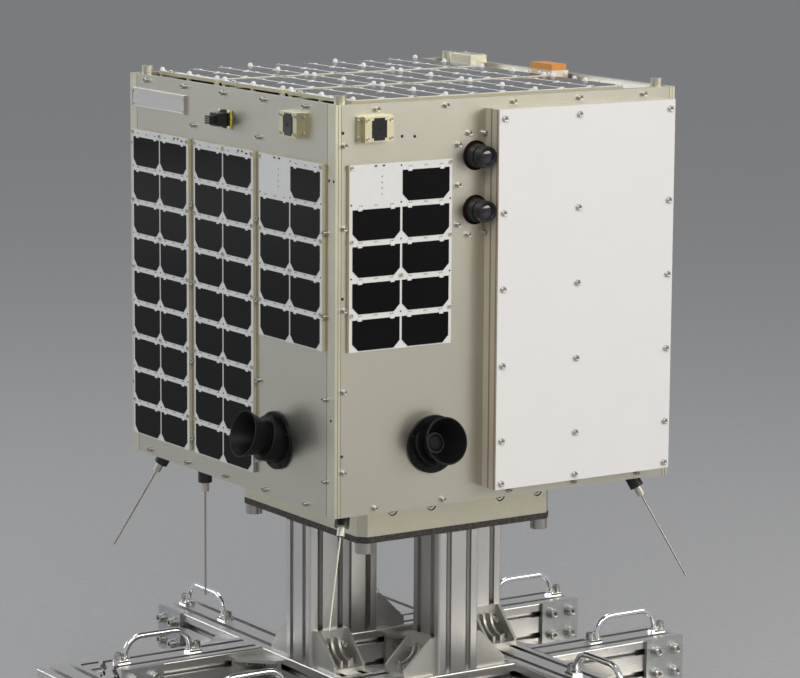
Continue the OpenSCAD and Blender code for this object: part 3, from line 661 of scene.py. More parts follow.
def foot_finish(name):
    """A black moulded pad under a steel stud and nut, told apart by height."""
    finish = Finish(name)
    pad_h = 8
    upper = finish.axes(finish.place)[2] > pad_h * MM
    grain = finish.noise(500.0)
    rubber = finish.blend(grain, (0.012, 0.012, 0.012), (0.03, 0.03, 0.03))
    metal = finish.blend(grain, (0.45, 0.46, 0.48), (0.62, 0.63, 0.65))
    return finish.set(
        Base_Color=finish.blend(upper, rubber, metal),
        Metallic=upper,
        Roughness=0.6 - upper * 0.28 + (grain - 0.5) * 0.1,
        Normal=finish.bump(grain, 0.15, 0.3))


def lens_glass(name, tone, rough):
    """Coated glass: almost black, with a painted coloured sheen in its base colour that grows
    toward the rim, where the glass is seen edge-on.
    """
    finish = Finish(name, IOR=1.6, Coat_Roughness=0.02, Coat_Weight=1.0, Metallic=0.35)
    dust = finish.noise(400.0, 4.0)
    # Painted sheen: the base colour lightens where the glass is seen at a grazing angle.
    rim = finish.node("LayerWeight", {}, {"Blend": 0.35}, "Facing")
    return finish.set(
        Base_Color=finish.shades(rim, tone, 0.35, 1.0),
        Roughness=rough + dust * 0.03,
        Normal=finish.bump(dust, 0.01, 0.2))


# The finishes of each skin: the base colour or the panel's name for it, the roughness and,
# where it isn't the skin's own, the strength of the bump.
GRAINED = {
    "rolled": {"panel_sheet": ("panel", 0.36)},
    "polished": {"mirror_deck": (((0.60, 0.61, 0.62), (0.72, 0.72, 0.72)), 0.085)},
    "film": {"film_amber": ("film", 0.35)},
    "black": {
        "black_anodised": ((0.014, 0.014, 0.015), 0.34),
        "matt_black": ("baffle", 0.5),
        "barrel_grey": ((0.030, 0.030, 0.032), 0.3),
        "tracker_glass": ((0.002, 0.002, 0.003), 0.6, 0.0),
    },
    "coated": {
        "gold_coating": ("gold", 0.42),
        "pale_coating": ("alodine", 0.38),
        "adapter_metal": ("alodine", 0.36),
    },
    "cast": {"cast_metal": ("casting", 0.46)},
    "chrome": {"plated_chrome": (((0.80, 0.81, 0.83), (0.90, 0.90, 0.91)), 0.09)},
    "brushed": {"brushed_plate": (((0.58, 0.57, 0.54), (0.76, 0.75, 0.72)), 0.35)},
    "steel": {
        "screw_steel": ((0.56, 0.55, 0.52), 0.28),
        "screw_steel_large": ((0.45, 0.44, 0.41), 0.32),
        "screw_dark": ((0.16, 0.155, 0.15), 0.35),
        "solder": ((0.42, 0.42, 0.41), 0.4),
        "washer_pale": ((0.62, 0.60, 0.54), 0.3),
    },
    "moulded": {
        "screw_white": ((0.78, 0.78, 0.76), 0.3),
        "silver_tab": ((0.80, 0.80, 0.79), 0.35),
        "ear_cream": ((0.70, 0.66, 0.52), 0.4),
        "collar_red": ((0.07, 0.008, 0.008), 0.4),
        "connector_black": ((0.012, 0.012, 0.012), 0.4),
        "gasket": ("gasket", 0.5),
        "seam_dark": ((0.045, 0.042, 0.032), 0.6),
        # Dark discs standing for holes: painted shade. The diodes' black is their own colour.
        "hole_dark": ((0.012, 0.011, 0.010), 0.6),
        "foot_rubber": ((0.02, 0.02, 0.02), 0.6),
        "studio_floor": ("floor", 0.6),
    },
}
# How each named finish is made: the function, then what follows the name in its call.
LOOKS = {
    "camera_glass": (lens_glass, (0.020, 0.010, 0.034), 0.03),
    "sun_glass": (lens_glass, (0.012, 0.012, 0.016), 0.06),
    "radiator_white": (radiator_white,),
    "plated_zinc": (plated_zinc,),
    "laminate": (laminate,),
    "patch_finish": (patch_finish,),
    "foot_finish": (foot_finish,),
} | {name: (grained, skin, *values)
     for skin, finishes in GRAINED.items() for name, values in finishes.items()}
made_looks = {}


def made_once(key, maker, *values):
    """The finish of this key, made on first use."""
    if key not in made_looks:
        made_looks[key] = maker(*values)
    return made_looks[key]


def look(name):
    """The named finish of the table above."""
    maker, *values = LOOKS[name]
    return made_once(name, maker, name, *values)


# ---------- Settings ----------


def tint(title, words, default):
    """A colour property."""
    return bpy.props.FloatVectorProperty(
        name=title, description=words, subtype="COLOR", size=3, min=0.0, max=1.0,
        default=default)


def length(title, words, default):
    """A length property in metres."""
    return bpy.props.FloatProperty(
        name=title, description=words, unit="LENGTH", min=0.0001, default=default)


def angle_property(title, words, degrees):
    """An angle property."""
    return bpy.props.FloatProperty(
        name=title, description=words, subtype="ANGLE", default=math.radians(degrees))


class SatelliteColours(bpy.types.PropertyGroup):
    """Colours that a user would change."""

    panel: tint("Panels", "Bare metal of the body's side panels", (0.60, 0.58, 0.495))
    alodine: tint("Posts", "Pale coating of posts, bosses and boxes", (0.70, 0.67, 0.53))
    gold: tint("Sensor coating", "Pale gold coating of the sun sensors", (0.70, 0.655, 0.45))
    cell_dark: tint("Cell, dark", "Darkest tone of a solar cell", (0.004, 0.004, 0.005))
    cell_light: tint("Cell, light", "Lightest tone of a solar cell", (0.0060, 0.0050, 0.0050))
    board: tint("Board", "White of the solar boards", (0.80, 0.80, 0.79))
    board_edge: tint("Board edge", "Side of the solar boards", (0.56, 0.52, 0.36))
    radiator: tint("Radiator", "White paint of the radiator", (0.83, 0.82, 0.82))
    radiator_edge: tint("Radiator edge", "Side of the radiator's sheets", (0.60, 0.56, 0.46))
    film: tint("Film", "Amber film between the sheets", (0.36, 0.20, 0.09))
    baffle: tint("Baffles", "Matt black of the baffles", (0.0035, 0.0035, 0.004))
    patch: tint("Patch antenna", "Orange block of the patch antenna", (0.66, 0.27, 0.05))
    gasket: tint("Gasket", "Yellow gasket of the service connector", (0.70, 0.55, 0.06))
    extrusion: tint("Extrusion", "Anodised metal of the stand", (0.68, 0.67, 0.65))
    casting: tint("Casting", "Die-cast metal of the brackets", (0.60, 0.59, 0.55))
    zinc: tint("Zinc", "Plating of the joining plates", (0.50, 0.53, 0.57))
    laminate: tint("Laminate", "Insulating plate", (0.050, 0.042, 0.038))
    floor: tint("Floor", "Studio floor", (0.40, 0.40, 0.405))


class SatelliteSizes(bpy.types.PropertyGroup):
    """Sizes that a user would change."""

    panel_screw_d: length("Panel screw", "Head diameter of the panels' screws", 6.2 * MM)
    panel_screw_h: length("Panel screw height", "Head height of the panels' screws", 5 * MM)
    radiator_screw_d: length("Radiator screw", "Head diameter on the radiator", 7 * MM)
    board_screw_d: length("Board screw", "Head diameter on the solar boards", 4.4 * MM)
    bracket_screw_d: length("Bracket screw", "Head diameter on the brackets", 9 * MM)
    plate_screw_d: length("Plate screw", "Head diameter on the joining plates", 13 * MM)
    focal_length: length("Focal length", "Camera's focal length", 0.14996)
    camera_place: bpy.props.FloatVectorProperty(
        name="Camera", description="Camera's place", subtype="TRANSLATION", unit="LENGTH",
        default=(-2.315142, -3.540870, 1.276445))
    camera_azimuth: angle_property("Azimuth", "Camera's angle round the model", -33.243)
    camera_elevation: angle_property("Elevation", "Camera's angle above the horizon", 9.637)
    camera_roll: angle_property("Roll", "Camera's turn about its own axis", 0.366)


def in_mm(name):
    """One of the lengths on the panel, in millimetres."""
    return getattr(bpy.context.scene.satellite_sizes, name) / MM


# ---------- Finishes of the frame ----------

# The parts of the frame that wear each finish.
WEARERS = {
    "panel_sheet": ("front_panel", "left_panel", "right_panel", "rear_panel",
                    "bottom_panel", "equipment_block"),
    "mirror_deck": ("top_panel",),
    "pale_coating": ("top_bosses", "receiver_box"),
    "radiator_white": ("radiator_base", "radiator_middle", "radiator_front"),
    "film_amber": ("radiator_films",),
    "black_anodised": ("earth_cameras",),
    "matt_black": tuple(TRACKERS),
    "gold_coating": ("left_sun_sensor", "front_sun_sensor"),
    "brushed_plate": ("nameplate",),
    "connector_black": ("service_connector",),
    "patch_finish": ("patch_antenna",),
    "adapter_metal": ("adapter_ring",),
    "laminate": ("insulating_plate",),
    "screw_steel_large": ("adapter_screws",),
    "cast_metal": ("angle_brackets",),
    "plated_zinc": ("joining_plates",),
    "plated_chrome": ("beam_handles", "arm_handles"),
    "foot_finish": ("levelling_feet",),
}
# The axis that each bar runs along, on the left and right and on the rear and front.
BAR_AXES = {"stand_column_": (2, 2), "base_beam_": (1, 0), "outrigger_arm_": (0, 1),
            "ground_rail_": (1, 0)}
# The axis and the sign of the way that each face looks.
OUTWARD = {LEFT: (0, -1), RIGHT: (0, 1), FRONT: (1, -1), REAR: (1, 1), None: (2, 1)}


class SATELLITE_OT_frame_finishes(bpy.types.Operator):
    """Gives every part of the frame its finish"""

    bl_idname = "satellite.frame_finishes"
    bl_label = "Frame finishes"

    def execute(self, context):
        chosen = {node: look(name) for name, nodes in WEARERS.items() for node in nodes}
        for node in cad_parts:
            if node.startswith("corner_post"):
                chosen[node] = look("pale_coating")
        for node, (turn, _) in BOARDS.items():
            axis, sign = OUTWARD[turn]
            chosen[node] = made_once(
                (axis, sign), solar_board, f"solar_board_{'xyz'[axis]}", axis, sign, node)
        for start, axes in BAR_AXES.items():
            for index, side in enumerate(SIDES):
                axis = axes[index % 2]
                name = f"extrusion_{'xyz'[axis]}"
                chosen[start + side] = made_once(name, extruded_metal, name, axis)
        inset = BODY_HALF - WHIP_INSET * MM
        lean = math.sin(WHIP_LEAN) / math.sqrt(2)
        chosen["whip_antennas"] = antenna_finish(
            "whip_finish", (inset, inset, BODY_Z), (lean, lean, -math.cos(WHIP_LEAN)), True)
        upright = middle("monopole_antenna")
        chosen["monopole_antenna"] = antenna_finish(
            "monopole_finish", (upright.x, upright.y, BODY_Z), (0, 0, -1), False)
        missing = set(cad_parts) - set(chosen)
        if missing:
            raise RuntimeError(f"no finish for {sorted(missing)}")
        for name, material in chosen.items():
            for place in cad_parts[name].material_slots:
                place.link = "DATA"
                place.material = material
        return {"FINISHED"}


# ---------- Panel and board hardware ----------


def five(x, y, right=0.0, up=0.0):
    """Five places in a row: the first place, and the step to the next."""
    return [(x + right * i, y + up * i) for i in range(5)]


OTHER_SCREWS = [
    *five(-196, 7, 98), *five(-196, 488, 98),
    *(place for x in (-80, 80, -241, 241) for place in five(x, 442, up=-100))]
PANEL_SCREWS = {
    LEFT: [*five(-205, 488.5, 97), *five(-200, 7, 96.5), *five(-85, 442, up=-100),
           *five(75, 442, up=-100), *five(229, 442, up=-100)[1:]],
    FRONT: [*five(-193, 488, 98.5), *five(-193, 7, 98.5), *five(-238, 447, up=-98),
            (-61, 453), (-38, 452), (-76, 440), (-76, 391), (-76, 343), (-61, 330),
            (-37, 331)],
    RIGHT: OTHER_SCREWS,
    REAR: OTHER_SCREWS,
}
SPARE_HOLES = {
    FRONT: [(-240, 462), (-240, 265), (-240, 75), (-157, 454), (-139, 453)],
    LEFT: [(-246, 405), (246, 405), (236, 405), (-246, 90), (241, 118)],
    RIGHT: [(-246, 405), (246, 405)],
    REAR: [(-240, 462), (240, 462)],
}
SEAM_W, SEAM_T = 0.5, 0.12


def on_faces(places):
    """The matrices of places listed by face."""
    return [on_face(turn, x, y) for turn in places for x, y in places[turn]]


class SATELLITE_OT_panel_screws(bpy.types.Operator):
    """Sets the cap screws, the seams and the small spare holes of the side panels; each hole
    is a flat dark disc, painted shade in place of its depth
    """

    bl_idname = "satellite.panel_screws"
    bl_label = "Panel screws"

    def execute(self, context):
        diameter = in_mm("panel_screw_d")
        head = cap_screw(diameter, in_mm("panel_screw_h"), diameter * 0.52)
        piece("panel_screws", "screw_steel", head, on_faces(PANEL_SCREWS))
        tall = BODY_H / MM
        seam = box(SEAM_W, tall, 0, SEAM_T, y=tall / 2)
        post, wall = (BODY_HALF - POST_W) / MM, (BODY_HALF - WALL_T) / MM
        joint = (BODY_HALF - WALL_T / 2) / MM
        joints = [
            on_face(turn, side * x, 0)
            for turn, distances in ((LEFT, [post]), (RIGHT, [post]), (FRONT, [wall, joint]),
                                    (REAR, [wall]))
            for side in (-1, 1) for x in distances]
        piece("panel_seams", "seam_dark", seam, joints, smooth=0)
        # A flat dark disc for each spare hole: painted shade in place of the hole's depth.
        hole = turned_shape([(1.9, 0), (1.9, 0.15), (1.7, 0.25)], 16)
        piece("panel_spare_holes", "hole_dark", hole,
              on_faces(SPARE_HOLES))
        return {"FINISHED"}


class SATELLITE_OT_board_hardware(bpy.types.Operator):
    """Lays the tabs, the solder pads, the screws, the holes and the diodes on the solar
    boards. Each hole is a flat dark disc: painted shade in place of its depth."""

    bl_idname = "satellite.board_hardware"
    bl_label = "Board hardware"

    def execute(self, context):
        tab = box(6.0, 4.6, 0, 0.85, 0.2)
        pad = joined([box(2.0, 1.5, 0, 0.25, 0.05, x=x) for x in (-1.5, 1.5)])
        diode = box(3.0, 1.7, 0, 0.9, 0.15)
        rivet = turned_shape([(1.3, 0), (1.3, 0.1), (0.9, 0.25), (0.4, 0.12)], 12)
        # A flat dark disc for each hole: painted shade in place of the hole's depth.
        hole = turned_shape([(1.2, 0), (1.2, 0.1), (0.9, 0.2)], 12)
        screw = cap_screw(in_mm("board_screw_d"), 2.2, 2.2)
        dome = pan_screw(6.5, 4.6, 2)
        ear = box(6.5, 5.0, 0, 0.4, 0.1)
        places = {key: [] for key in ("tab", "pad", "diode", "hole", "screw", "dot", "dome")}
        hole_x, tab_x, pad_x = 2 * CELL_X, 23, 22
        tab_rise, pad_rise = 0.6, 4.4
        dot_x, first_dot, dot_pitch = 8, 6, 7
        for node in BOARDS:
            short, on_top = node in SHORT_BOARDS, node == "top_solar_panels"
            for board, rows in board_frames(node):
                for row in range(rows):
                    top = -FIRST_CELL - row * ROW_PITCH
                    seam = -SEAM_Y - row * ROW_PITCH
                    for side in (-1, 1):
                        centre = side * CELL_X
                        if short and row == 0 and side < 0:
                            places["dot"] += [
                                at(board, centre + dot_x, top - first_dot - dot_pitch * i)
                                for i in range(4)]
                            continue
                        places["tab"] += [
                            at(board, centre + x, top + tab_rise) for x in (-tab_x, tab_x)]
                        places["pad"] += [
                            at(board, centre + x, top + pad_rise)
                            for x in (-pad_x, 0, pad_x)]
                    for x in (-1, 0, 1):
                        kind = "screw" if row % (2 if x else 3) == 0 else "hole"
                        if on_top and row % 3 == 0:
                            kind = "dome"
                        elif short and x == 0:
                            kind = "screw" if row == 3 else "hole"
                        places[kind].append(at(board, x * hole_x, seam))
                if on_top:
                    places["dome"] += [
                        at(board, x * hole_x, -ROW_PITCH * rows) for x in (-1, 0, 1)]
                marks = ((-36, -2.6), (-25, -2.6)) if short else (
                    (38, -2.6), (47, -2.6), (57, -4.4))
                places["diode"] += [at(board, x, y) for x, y in marks]
        pieces("board_", (
            ("tabs", "silver_tab", tab, places["tab"]),
            ("pads", "solder", pad, places["pad"]),
            ("diodes", "hole_dark", diode, places["diode"]),
            ("holes", "hole_dark", hole, places["hole"]),
            ("screw_ears", "ear_cream", ear, places["screw"]),
            ("screws", "screw_steel", screw, places["screw"]),
            ("dots", "solder", rivet, places["dot"]),
            ("domes", "screw_white", dome, places["dome"])))
        return {"FINISHED"}


class SATELLITE_OT_radiator_screws(bpy.types.Operator):
    """Sets the screws, the washers and the films' edges of the radiator"""

    bl_idname = "satellite.radiator_screws"
    bl_label = "Radiator screws"

    def execute(self, context):
        out = (-BODY_HALF - low("radiator_front").y) / MM
        places = [on_face(FRONT, x, y, out)
                  for x in (-29, 82, 221) for y in (471, 357, 264, 170, 77, 24)]
        diameter = in_mm("radiator_screw_d")
        head = cap_screw(diameter, 3.2, diameter * 0.5, 0.5)
        piece("radiator_screws", "screw_steel", head, places)
        first, last = low("radiator_base"), high("radiator_base")
        wide = 1.5
        edges = (first.x + wide * MM / 2, last.x - wide * MM / 2)
        films = []
        for behind, ahead in (("radiator_base", "radiator_middle"),
                              ("radiator_middle", "radiator_front")):
            back, front = low(behind).y, high(ahead).y
            strip = box(wide, (back - front) / MM, 0, (last.z - first.z) / MM)
            films.append(repeated(strip, [
                Matrix.Translation((x, (back + front) / 2, first.z)) for x in edges]))
        piece("radiator_film_edges", "film_amber", joined(films), smooth=0)
        disc = washer(diameter * 1.12, diameter * 0.5, 0.6)
        piece("radiator_washers", "washer_pale", disc, places)
        return {"FINISHED"}


# ---------- Optics and units ----------


def rounded(width, height, radius, steps=5):
    """A centred rectangle whose corners are quarter circles: radius times (cos a, sin a)
    from the corner's centre, turned by a quarter for each corner."""
    angle = np.linspace(0, math.pi / 2, steps)
    arc = radius * np.column_stack([np.cos(angle), np.sin(angle)])
    inset = np.array([width / 2 - radius, height / 2 - radius])
    parts = []
    for turn in np.arange(4) * math.pi / 2:
        rotation = np.array([[math.cos(turn), -math.sin(turn)],
                             [math.sin(turn), math.cos(turn)]])
        parts.append(arc @ rotation.T + inset * np.sign(rotation @ np.ones(2)))
    return np.concatenate(parts)


def wrapped(outline, radius, height, swelling):
    """A thin patch round a drum about Z: a point (x, y) of the outline goes to the angle
    x / radius from -Y at that height plus y, and again at the radius times swelling."""
    angle = outline[:, 0] / radius
    inner = np.column_stack(
        [radius * np.sin(angle), -radius * np.cos(angle), outline[:, 1] + height])
    count = len(outline)
    faces = [tuple(range(count)), tuple(range(2 * count - 1, count - 1, -1))] + [
        (i, i + count, (i + 1) % count + count, (i + 1) % count) for i in range(count)]
    return np.concatenate([inner, inner * (swelling, swelling, 1)]) * MM, faces


def ridges(inner, outer, width, levels):
    """Bevelled ridges about Z, each starting at one of the levels."""
    slope = 0.3
    return joined([
        ring_shape([(inner, z), (outer, z + slope), (outer, z + width - slope),
                    (inner, z + width)]) for z in levels])


class SATELLITE_OT_camera_optics(bpy.types.Operator):
    """Adds the cameras' collars, hole lips, ridges, bezels and glass, and a film spot"""

    bl_idname = "satellite.camera_optics"
    bl_label = "Camera optics"

    def execute(self, context):
        frames = camera_frames()
        collar = ring_shape([(14.2, -3), (15.4, -3), (15.4, -0.6), (14.2, -1)])
        lip = ring_shape([(15.4, -3), (17.9, -3), (18.2, 0), (18.2, 0.5), (17.6, 0.8),
                          (16.8, -0.6), (15.4, -1.4)])
        barrel = joined([ridges(13.8, 14.35, 1.5, (2, 5, 8, 11)),
                         ridges(12.8, 13.3, 1.2, (16, 18.2, 20.4))])
        bezel = ring_shape([
            (8.6, 24.4), (10.6, 24.2), (10.6, 26.4), (12.6, 26.9), (12.9, 27.4),
            (12.4, 27.8), (11, 27.6), (10, 26.2), (9.2, 25.4), (8.6, 25.2)])
        spot = wrapped(rounded(7, 5, 1.5), 13.05, 23, 1.018)
        turned = frames[1] @ Matrix.Rotation(math.radians(-40), 4, "Z")
        pieces("camera_", (
            ("collars", "collar_red", collar, frames),
            ("hole_lips", "black_anodised", lip, frames),
            ("ridges", "barrel_grey", barrel, frames),
            ("bezels", "black_anodised", bezel, frames),
            ("glass", "camera_glass", lens(8.9, 24.05, 0.15, 1.9), frames),
            ("film_spot", "film_amber", spot, [turned])))
        return {"FINISHED"}


class SATELLITE_OT_tracker_optics(bpy.types.Operator):
    """Adds the glass, the lips and the flange screws of the star trackers"""

    bl_idname = "satellite.tracker_optics"
    bl_label = "Tracker optics"

    def execute(self, context):
        flange_r, flange_t, glass_r, glass_drop = 32.0, 4, 9.6, 2
        lips, glasses, screws = [], [], []
        for node in TRACKERS:
            base, axis, whole, drum = tracker_frame(node)
            level = drum - glass_drop
            mouth = ring_shape([
                (27.2, whole - 0.6), (29.1, whole - 1.6), (29.25, whole - 0.3),
                (28.6, whole + 0.3), (27.6, whole + 0.2)], 64)
            seat = ring_shape([(9.5, level), (12.8, level), (12.8, level + 1.4),
                               (10.2, level + 1.6)])
            lips += [repeated(shape, [axis]) for shape in (mouth, seat)]
            glasses.append(repeated(lens(glass_r, level, 0.3, 1.8), [axis]))
            screws += [
                at(base, flange_r * math.cos(a), flange_r * math.sin(a), flange_t)
                for a in (np.arange(8) + 0.5) * math.pi / 4]
        pieces("tracker_", (
            ("lips", "matt_black", joined(lips), [Matrix()]),
            ("glass", "tracker_glass", joined(glasses), [Matrix()]),
            ("screws", "black_anodised", cap_screw(4.2, 1.2, 2.2), screws)))
        return {"FINISHED"}


class SATELLITE_OT_sensor_trim(bpy.types.Operator):
    """Adds the sun sensors' windows, pinholes and screws"""

    bl_idname = "satellite.sensor_trim"
    bl_label = "Sun sensor trim"

    def execute(self, context):
        x, y, notch = 10.3, 13.3, 3
        window = prism([
            (x, notch - y), (x, y - notch), (x - notch, y - notch), (x - notch, y),
            (notch - x, y), (notch - x, y - notch), (-x, y - notch), (-x, notch - y),
            (notch - x, notch - y), (notch - x, -y), (x - notch, -y), (x - notch, notch - y),
        ], -1.5, 0.9, 0.4)
        frames = [node_frame(LEFT, "left_sun_sensor"), node_frame(FRONT, "front_sun_sensor")]
        piece("sun_windows", "sun_glass", window, frames, smooth=0)
        pin = ring_shape([(0.9, 0.8), (2.6, 0.8), (2.4, 1.2), (1.1, 1.1)], 20)
        piece("sun_pinholes", "black_anodised", pin, frames)
        flange, cover = (22.5, 10, -9), (16.5, 11, 0)
        screws = [at(base, u * right, v * up, z) for base in frames
                  for right, up, z in (flange, cover) for u, v in CORNERS]
        piece("sun_sensor_screws", "screw_steel", cap_screw(4.2, 1.8, 2),
              screws)
        return {"FINISHED"}


class SATELLITE_OT_unit_trim(bpy.types.Operator):
    """Adds the gasket, the screws of the connector and the nameplate, the deck's domed
    heads, the lid of the receiver and the bosses' threads"""

    bl_idname = "satellite.unit_trim"
    bl_label = "Unit trim"

    def execute(self, context):
        self.connector()
        self.nameplate()
        self.deck()
        return {"FINISHED"}

    def connector(self):
        """The connector's gasket, flange, screws and pins. At the angle a, the gasket reaches
        (13.2 + 0.5 sin 12a) / max(|cos a|, |sin a|)^0.72, a squarish outline of 12 waves, and
        it is flattened to 0.92 of that in height."""
        plug = node_frame(LEFT, "service_connector")
        face = (BODY_HALF - abs(low("service_connector").x)) / MM
        angle = np.linspace(0, 2 * math.pi, 72, endpoint=False)
        across, up = np.cos(angle), np.sin(angle)
        reach = (13.2 + 0.5 * np.sin(12 * angle)) / np.maximum(abs(across), abs(up)) ** 0.72
        outline = np.column_stack([reach * across, reach * 0.92 * up])
        pin = turned_shape([(0.55, -0.2), (0.55, 0.15), (0.3, 0.3)], 10)
        foot = [at(plug, 0, 0, face)]
        pieces("connector_", (
            ("gasket", "gasket", prism(outline, 0, 1.4, 0.3), foot),
            ("flange", "black_anodised", prism(outline * 0.93, 1.2, 3, 0.4), foot),
            ("screws", "screw_white", pan_screw(4.4, 2, 1.8),
             [at(plug, x * 11.2, y * 10, face + 3) for x, y in CORNERS]),
            ("pins", "gold_coating", pin,
             [at(plug, x, y) for x in (-3.6, -1.2, 1.2, 3.6) for y in (-2.4, 0, 2.4)])))

    def nameplate(self):
        """The nameplate's raised rim and rivets."""
        plate = node_frame(LEFT, "nameplate")
        inset, rim_w, rim_t, to_rim, to_ends = 4, 1.6, 0.8, 3, 7.4
        _, wide, tall = (high("nameplate") - low("nameplate")) / 2 / MM
        wide, tall = wide - inset, tall - inset
        bars = [box(2 * wide + to_ends, rim_w, 0, rim_t, 0.3, y=side * (tall + to_rim))
                for side in (-1, 1)]
        bars += [box(rim_w, 2 * tall + to_ends, 0, rim_t, 0.3, x=side * (wide + to_rim))
                 for side in (-1, 1)]
        piece("nameplate_rim", "brushed_plate", joined(bars), [plate])
        piece("nameplate_rivets", "screw_steel", pan_screw(3.6, 1.2, 1.4),
              [at(plate, x * wide, y * tall) for x, y in CORNERS])

    def deck(self):
        """The screws on the deck, the receiver, the patch antenna and the boss threads."""
        deck = Matrix.Translation((0, 0, DECK_TOP))
        spots = [(237, -56), (214, -149), (244, -103), (-240, -150), (-240, 0), (-240, 150)]
        piece("deck_screws", "screw_white", pan_screw(6, 3.2, 2.6),
              [at(deck, x, y) for x, y in spots])
        lid_t, inset = 0.8, 4
        wide, deep, _ = (high("receiver_box") - low("receiver_box")) / MM
        centre = middle("receiver_box")
        lid = Matrix.Translation((centre.x, centre.y, high("receiver_box").z))
        piece("receiver_lid", "pale_coating",
              box(wide - 2, deep - 2, 0, lid_t, 0.3), [lid])
        piece("receiver_screws", "screw_steel", cap_screw(3.6, 1.3, 1.8), [
            at(lid, x * (wide / 2 - inset), y * (deep / 2 - inset), lid_t)
            for x, y in CORNERS])
        patch = low("patch_antenna")
        corner = Matrix.Translation((patch.x, patch.y, DECK_TOP + 5 * MM))
        heads = [at(corner, x, 0) @ Matrix.Rotation(math.pi / 2, 4, "X") for x in (5, 22)] + [
            at(corner, 0, y) @ Matrix.Rotation(-math.pi / 2, 4, "Y") for y in (5, 26, 47)]
        piece("patch_screws", "screw_white", pan_screw(5, 2.4, 2), heads)
        thread = joined([ring_shape([(3.05, z), (3.45, z - 0.4), (3.45, z + 0.4)], 24)
                         for z in np.arange(-9, -0.5, 1.0)])
        boss_top, boss_out = Matrix.Translation((0, 0, high("top_bosses").z)), 233.5
        piece("boss_threads", "screw_dark", thread,
              [at(boss_top, x * boss_out, y * boss_out) for x, y in CORNERS])


# ---------- Stand hardware ----------


class SATELLITE_OT_bracket_hardware(bpy.types.Operator):
    """Sets the ribs, the bolts and the washers of the angle brackets. A rib fills the corner
    up to a quarter circle round its two tips' corner, (tip - r cos a, tip - r sin a)"""

    bl_idname = "satellite.bracket_hardware"
    bl_label = "Bracket hardware"

    def execute(self, context):
        frames = bracket_frames()
        diameter = in_mm("bracket_screw_d")
        head = cap_screw(diameter, 6, diameter * 0.5, 1.4)
        disc = washer(diameter * 1.4, diameter * 0.55, 1.5)
        leg_t, along = 6, 27
        spots = [
            spot for base in frames for y in (-14.5, 14.5)
            for spot in (at(base, along, y, leg_t),
                         at(base, leg_t, y, along) @ Matrix.Rotation(math.pi / 2, 4, "Y"))]
        foot, tip, hollow_r = 5.8, 37, 24
        arc = np.linspace(0, math.pi / 2, 12)
        curve = np.column_stack([tip - hollow_r * np.cos(arc), tip - hollow_r * np.sin(arc)])
        rib = prism(np.concatenate([[(foot, tip), (foot, foot), (tip, foot)], curve[::-1]]),
                    -1.6, 1.6)
        ribs = [at(base, 0, y) @ Matrix.Rotation(math.pi / 2, 4, "X")
                for base in frames for y in (-5.5, 5.5)]
        pieces("bracket_", (
            ("bolts", "screw_steel", head, spots), ("washers", "plated_zinc", disc, spots),
            ("ribs", "cast_metal", rib, ribs)))
        return {"FINISHED"}


class SATELLITE_OT_plate_hardware(bpy.types.Operator):
    """Sets the cap screws and washers of the joining plates"""

    bl_idname = "satellite.plate_hardware"
    bl_label = "Plate hardware"

    def execute(self, context):
        diameter, inset = in_mm("plate_screw_d"), 15
        spots = [at(base, x * inset, y * inset) for base in plate_frames() for x, y in CORNERS]
        head = cap_screw(diameter, 8, diameter * 0.48, 1.6)
        disc = washer(diameter * 1.25, diameter * 0.6, 1.7)
        piece("plate_screws", "screw_steel", head, spots)
        piece("plate_washers", "plated_zinc", disc, spots)
        return {"FINISHED"}


class SATELLITE_OT_handle_hardware(bpy.types.Operator):
    """Sets the screws of the handles and the collars at the feet of their bars"""

    bl_idname = "satellite.handle_hardware"
    bl_label = "Handle hardware"

    def execute(self, context):
        foot_t = 4 * MM
        tops = [turn @ Matrix.Translation((-COLUMN_X, way * HANDLE_Y, BEAM_TOP + foot_t))
                for turn in quarter_turns() for way in (-1, 1)]
        screw_y, bar_y = 57.5, 47.5
        spots, bars = [
            [at(top, 0, y) for top in tops for y in (-reach, reach)]
            for reach in (screw_y, bar_y)]
        collar = ring_shape([(3.9, 0), (6.2, 0), (6.2, 1.2), (5.2, 2.4), (3.9, 3)], 28)
        pieces("handle_", (
            ("screws", "screw_steel", cap_screw(11, 9, 6, 0.8), spots),
            ("washers", "screw_steel", washer(13.6, 6, 1), spots),
            ("collars", "plated_chrome", collar, bars)))
        return {"FINISHED"}


class SATELLITE_OT_foot_hardware(bpy.types.Operator):
    """Adds the tread, the collar and the thread of the levelling feet"""

    bl_idname = "satellite.foot_hardware"
    bl_label = "Foot hardware"

    def execute(self, context):
        pad_r = 25
        reach = high("levelling_feet").x - pad_r * MM
        frames = [Matrix.Translation((x * reach, y * reach, 0)) for x, y in CORNERS]
        collar = ring_shape([(5.8, 7.6), (15, 7.8), (14, 9.4), (9, 11), (5.8, 11.2)], 40)
        thread = joined([
            ring_shape([(5.7, z - 0.7), (6.35, z), (5.7, z + 0.7)], 24)
            for z in np.arange(12.4, 21.5, 1.5)])
        ribs = joined([box(1.2, 1, 1, 6.6, x=pad_r * math.cos(a), y=pad_r * math.sin(a))
                       for a in np.arange(36) * math.pi / 18])
        pieces("foot_", (
            ("collars", "foot_rubber", collar, frames),
            ("threads", "screw_steel", thread, frames),
            ("ribs", "foot_rubber", ribs, frames)))
        return {"FINISHED"}


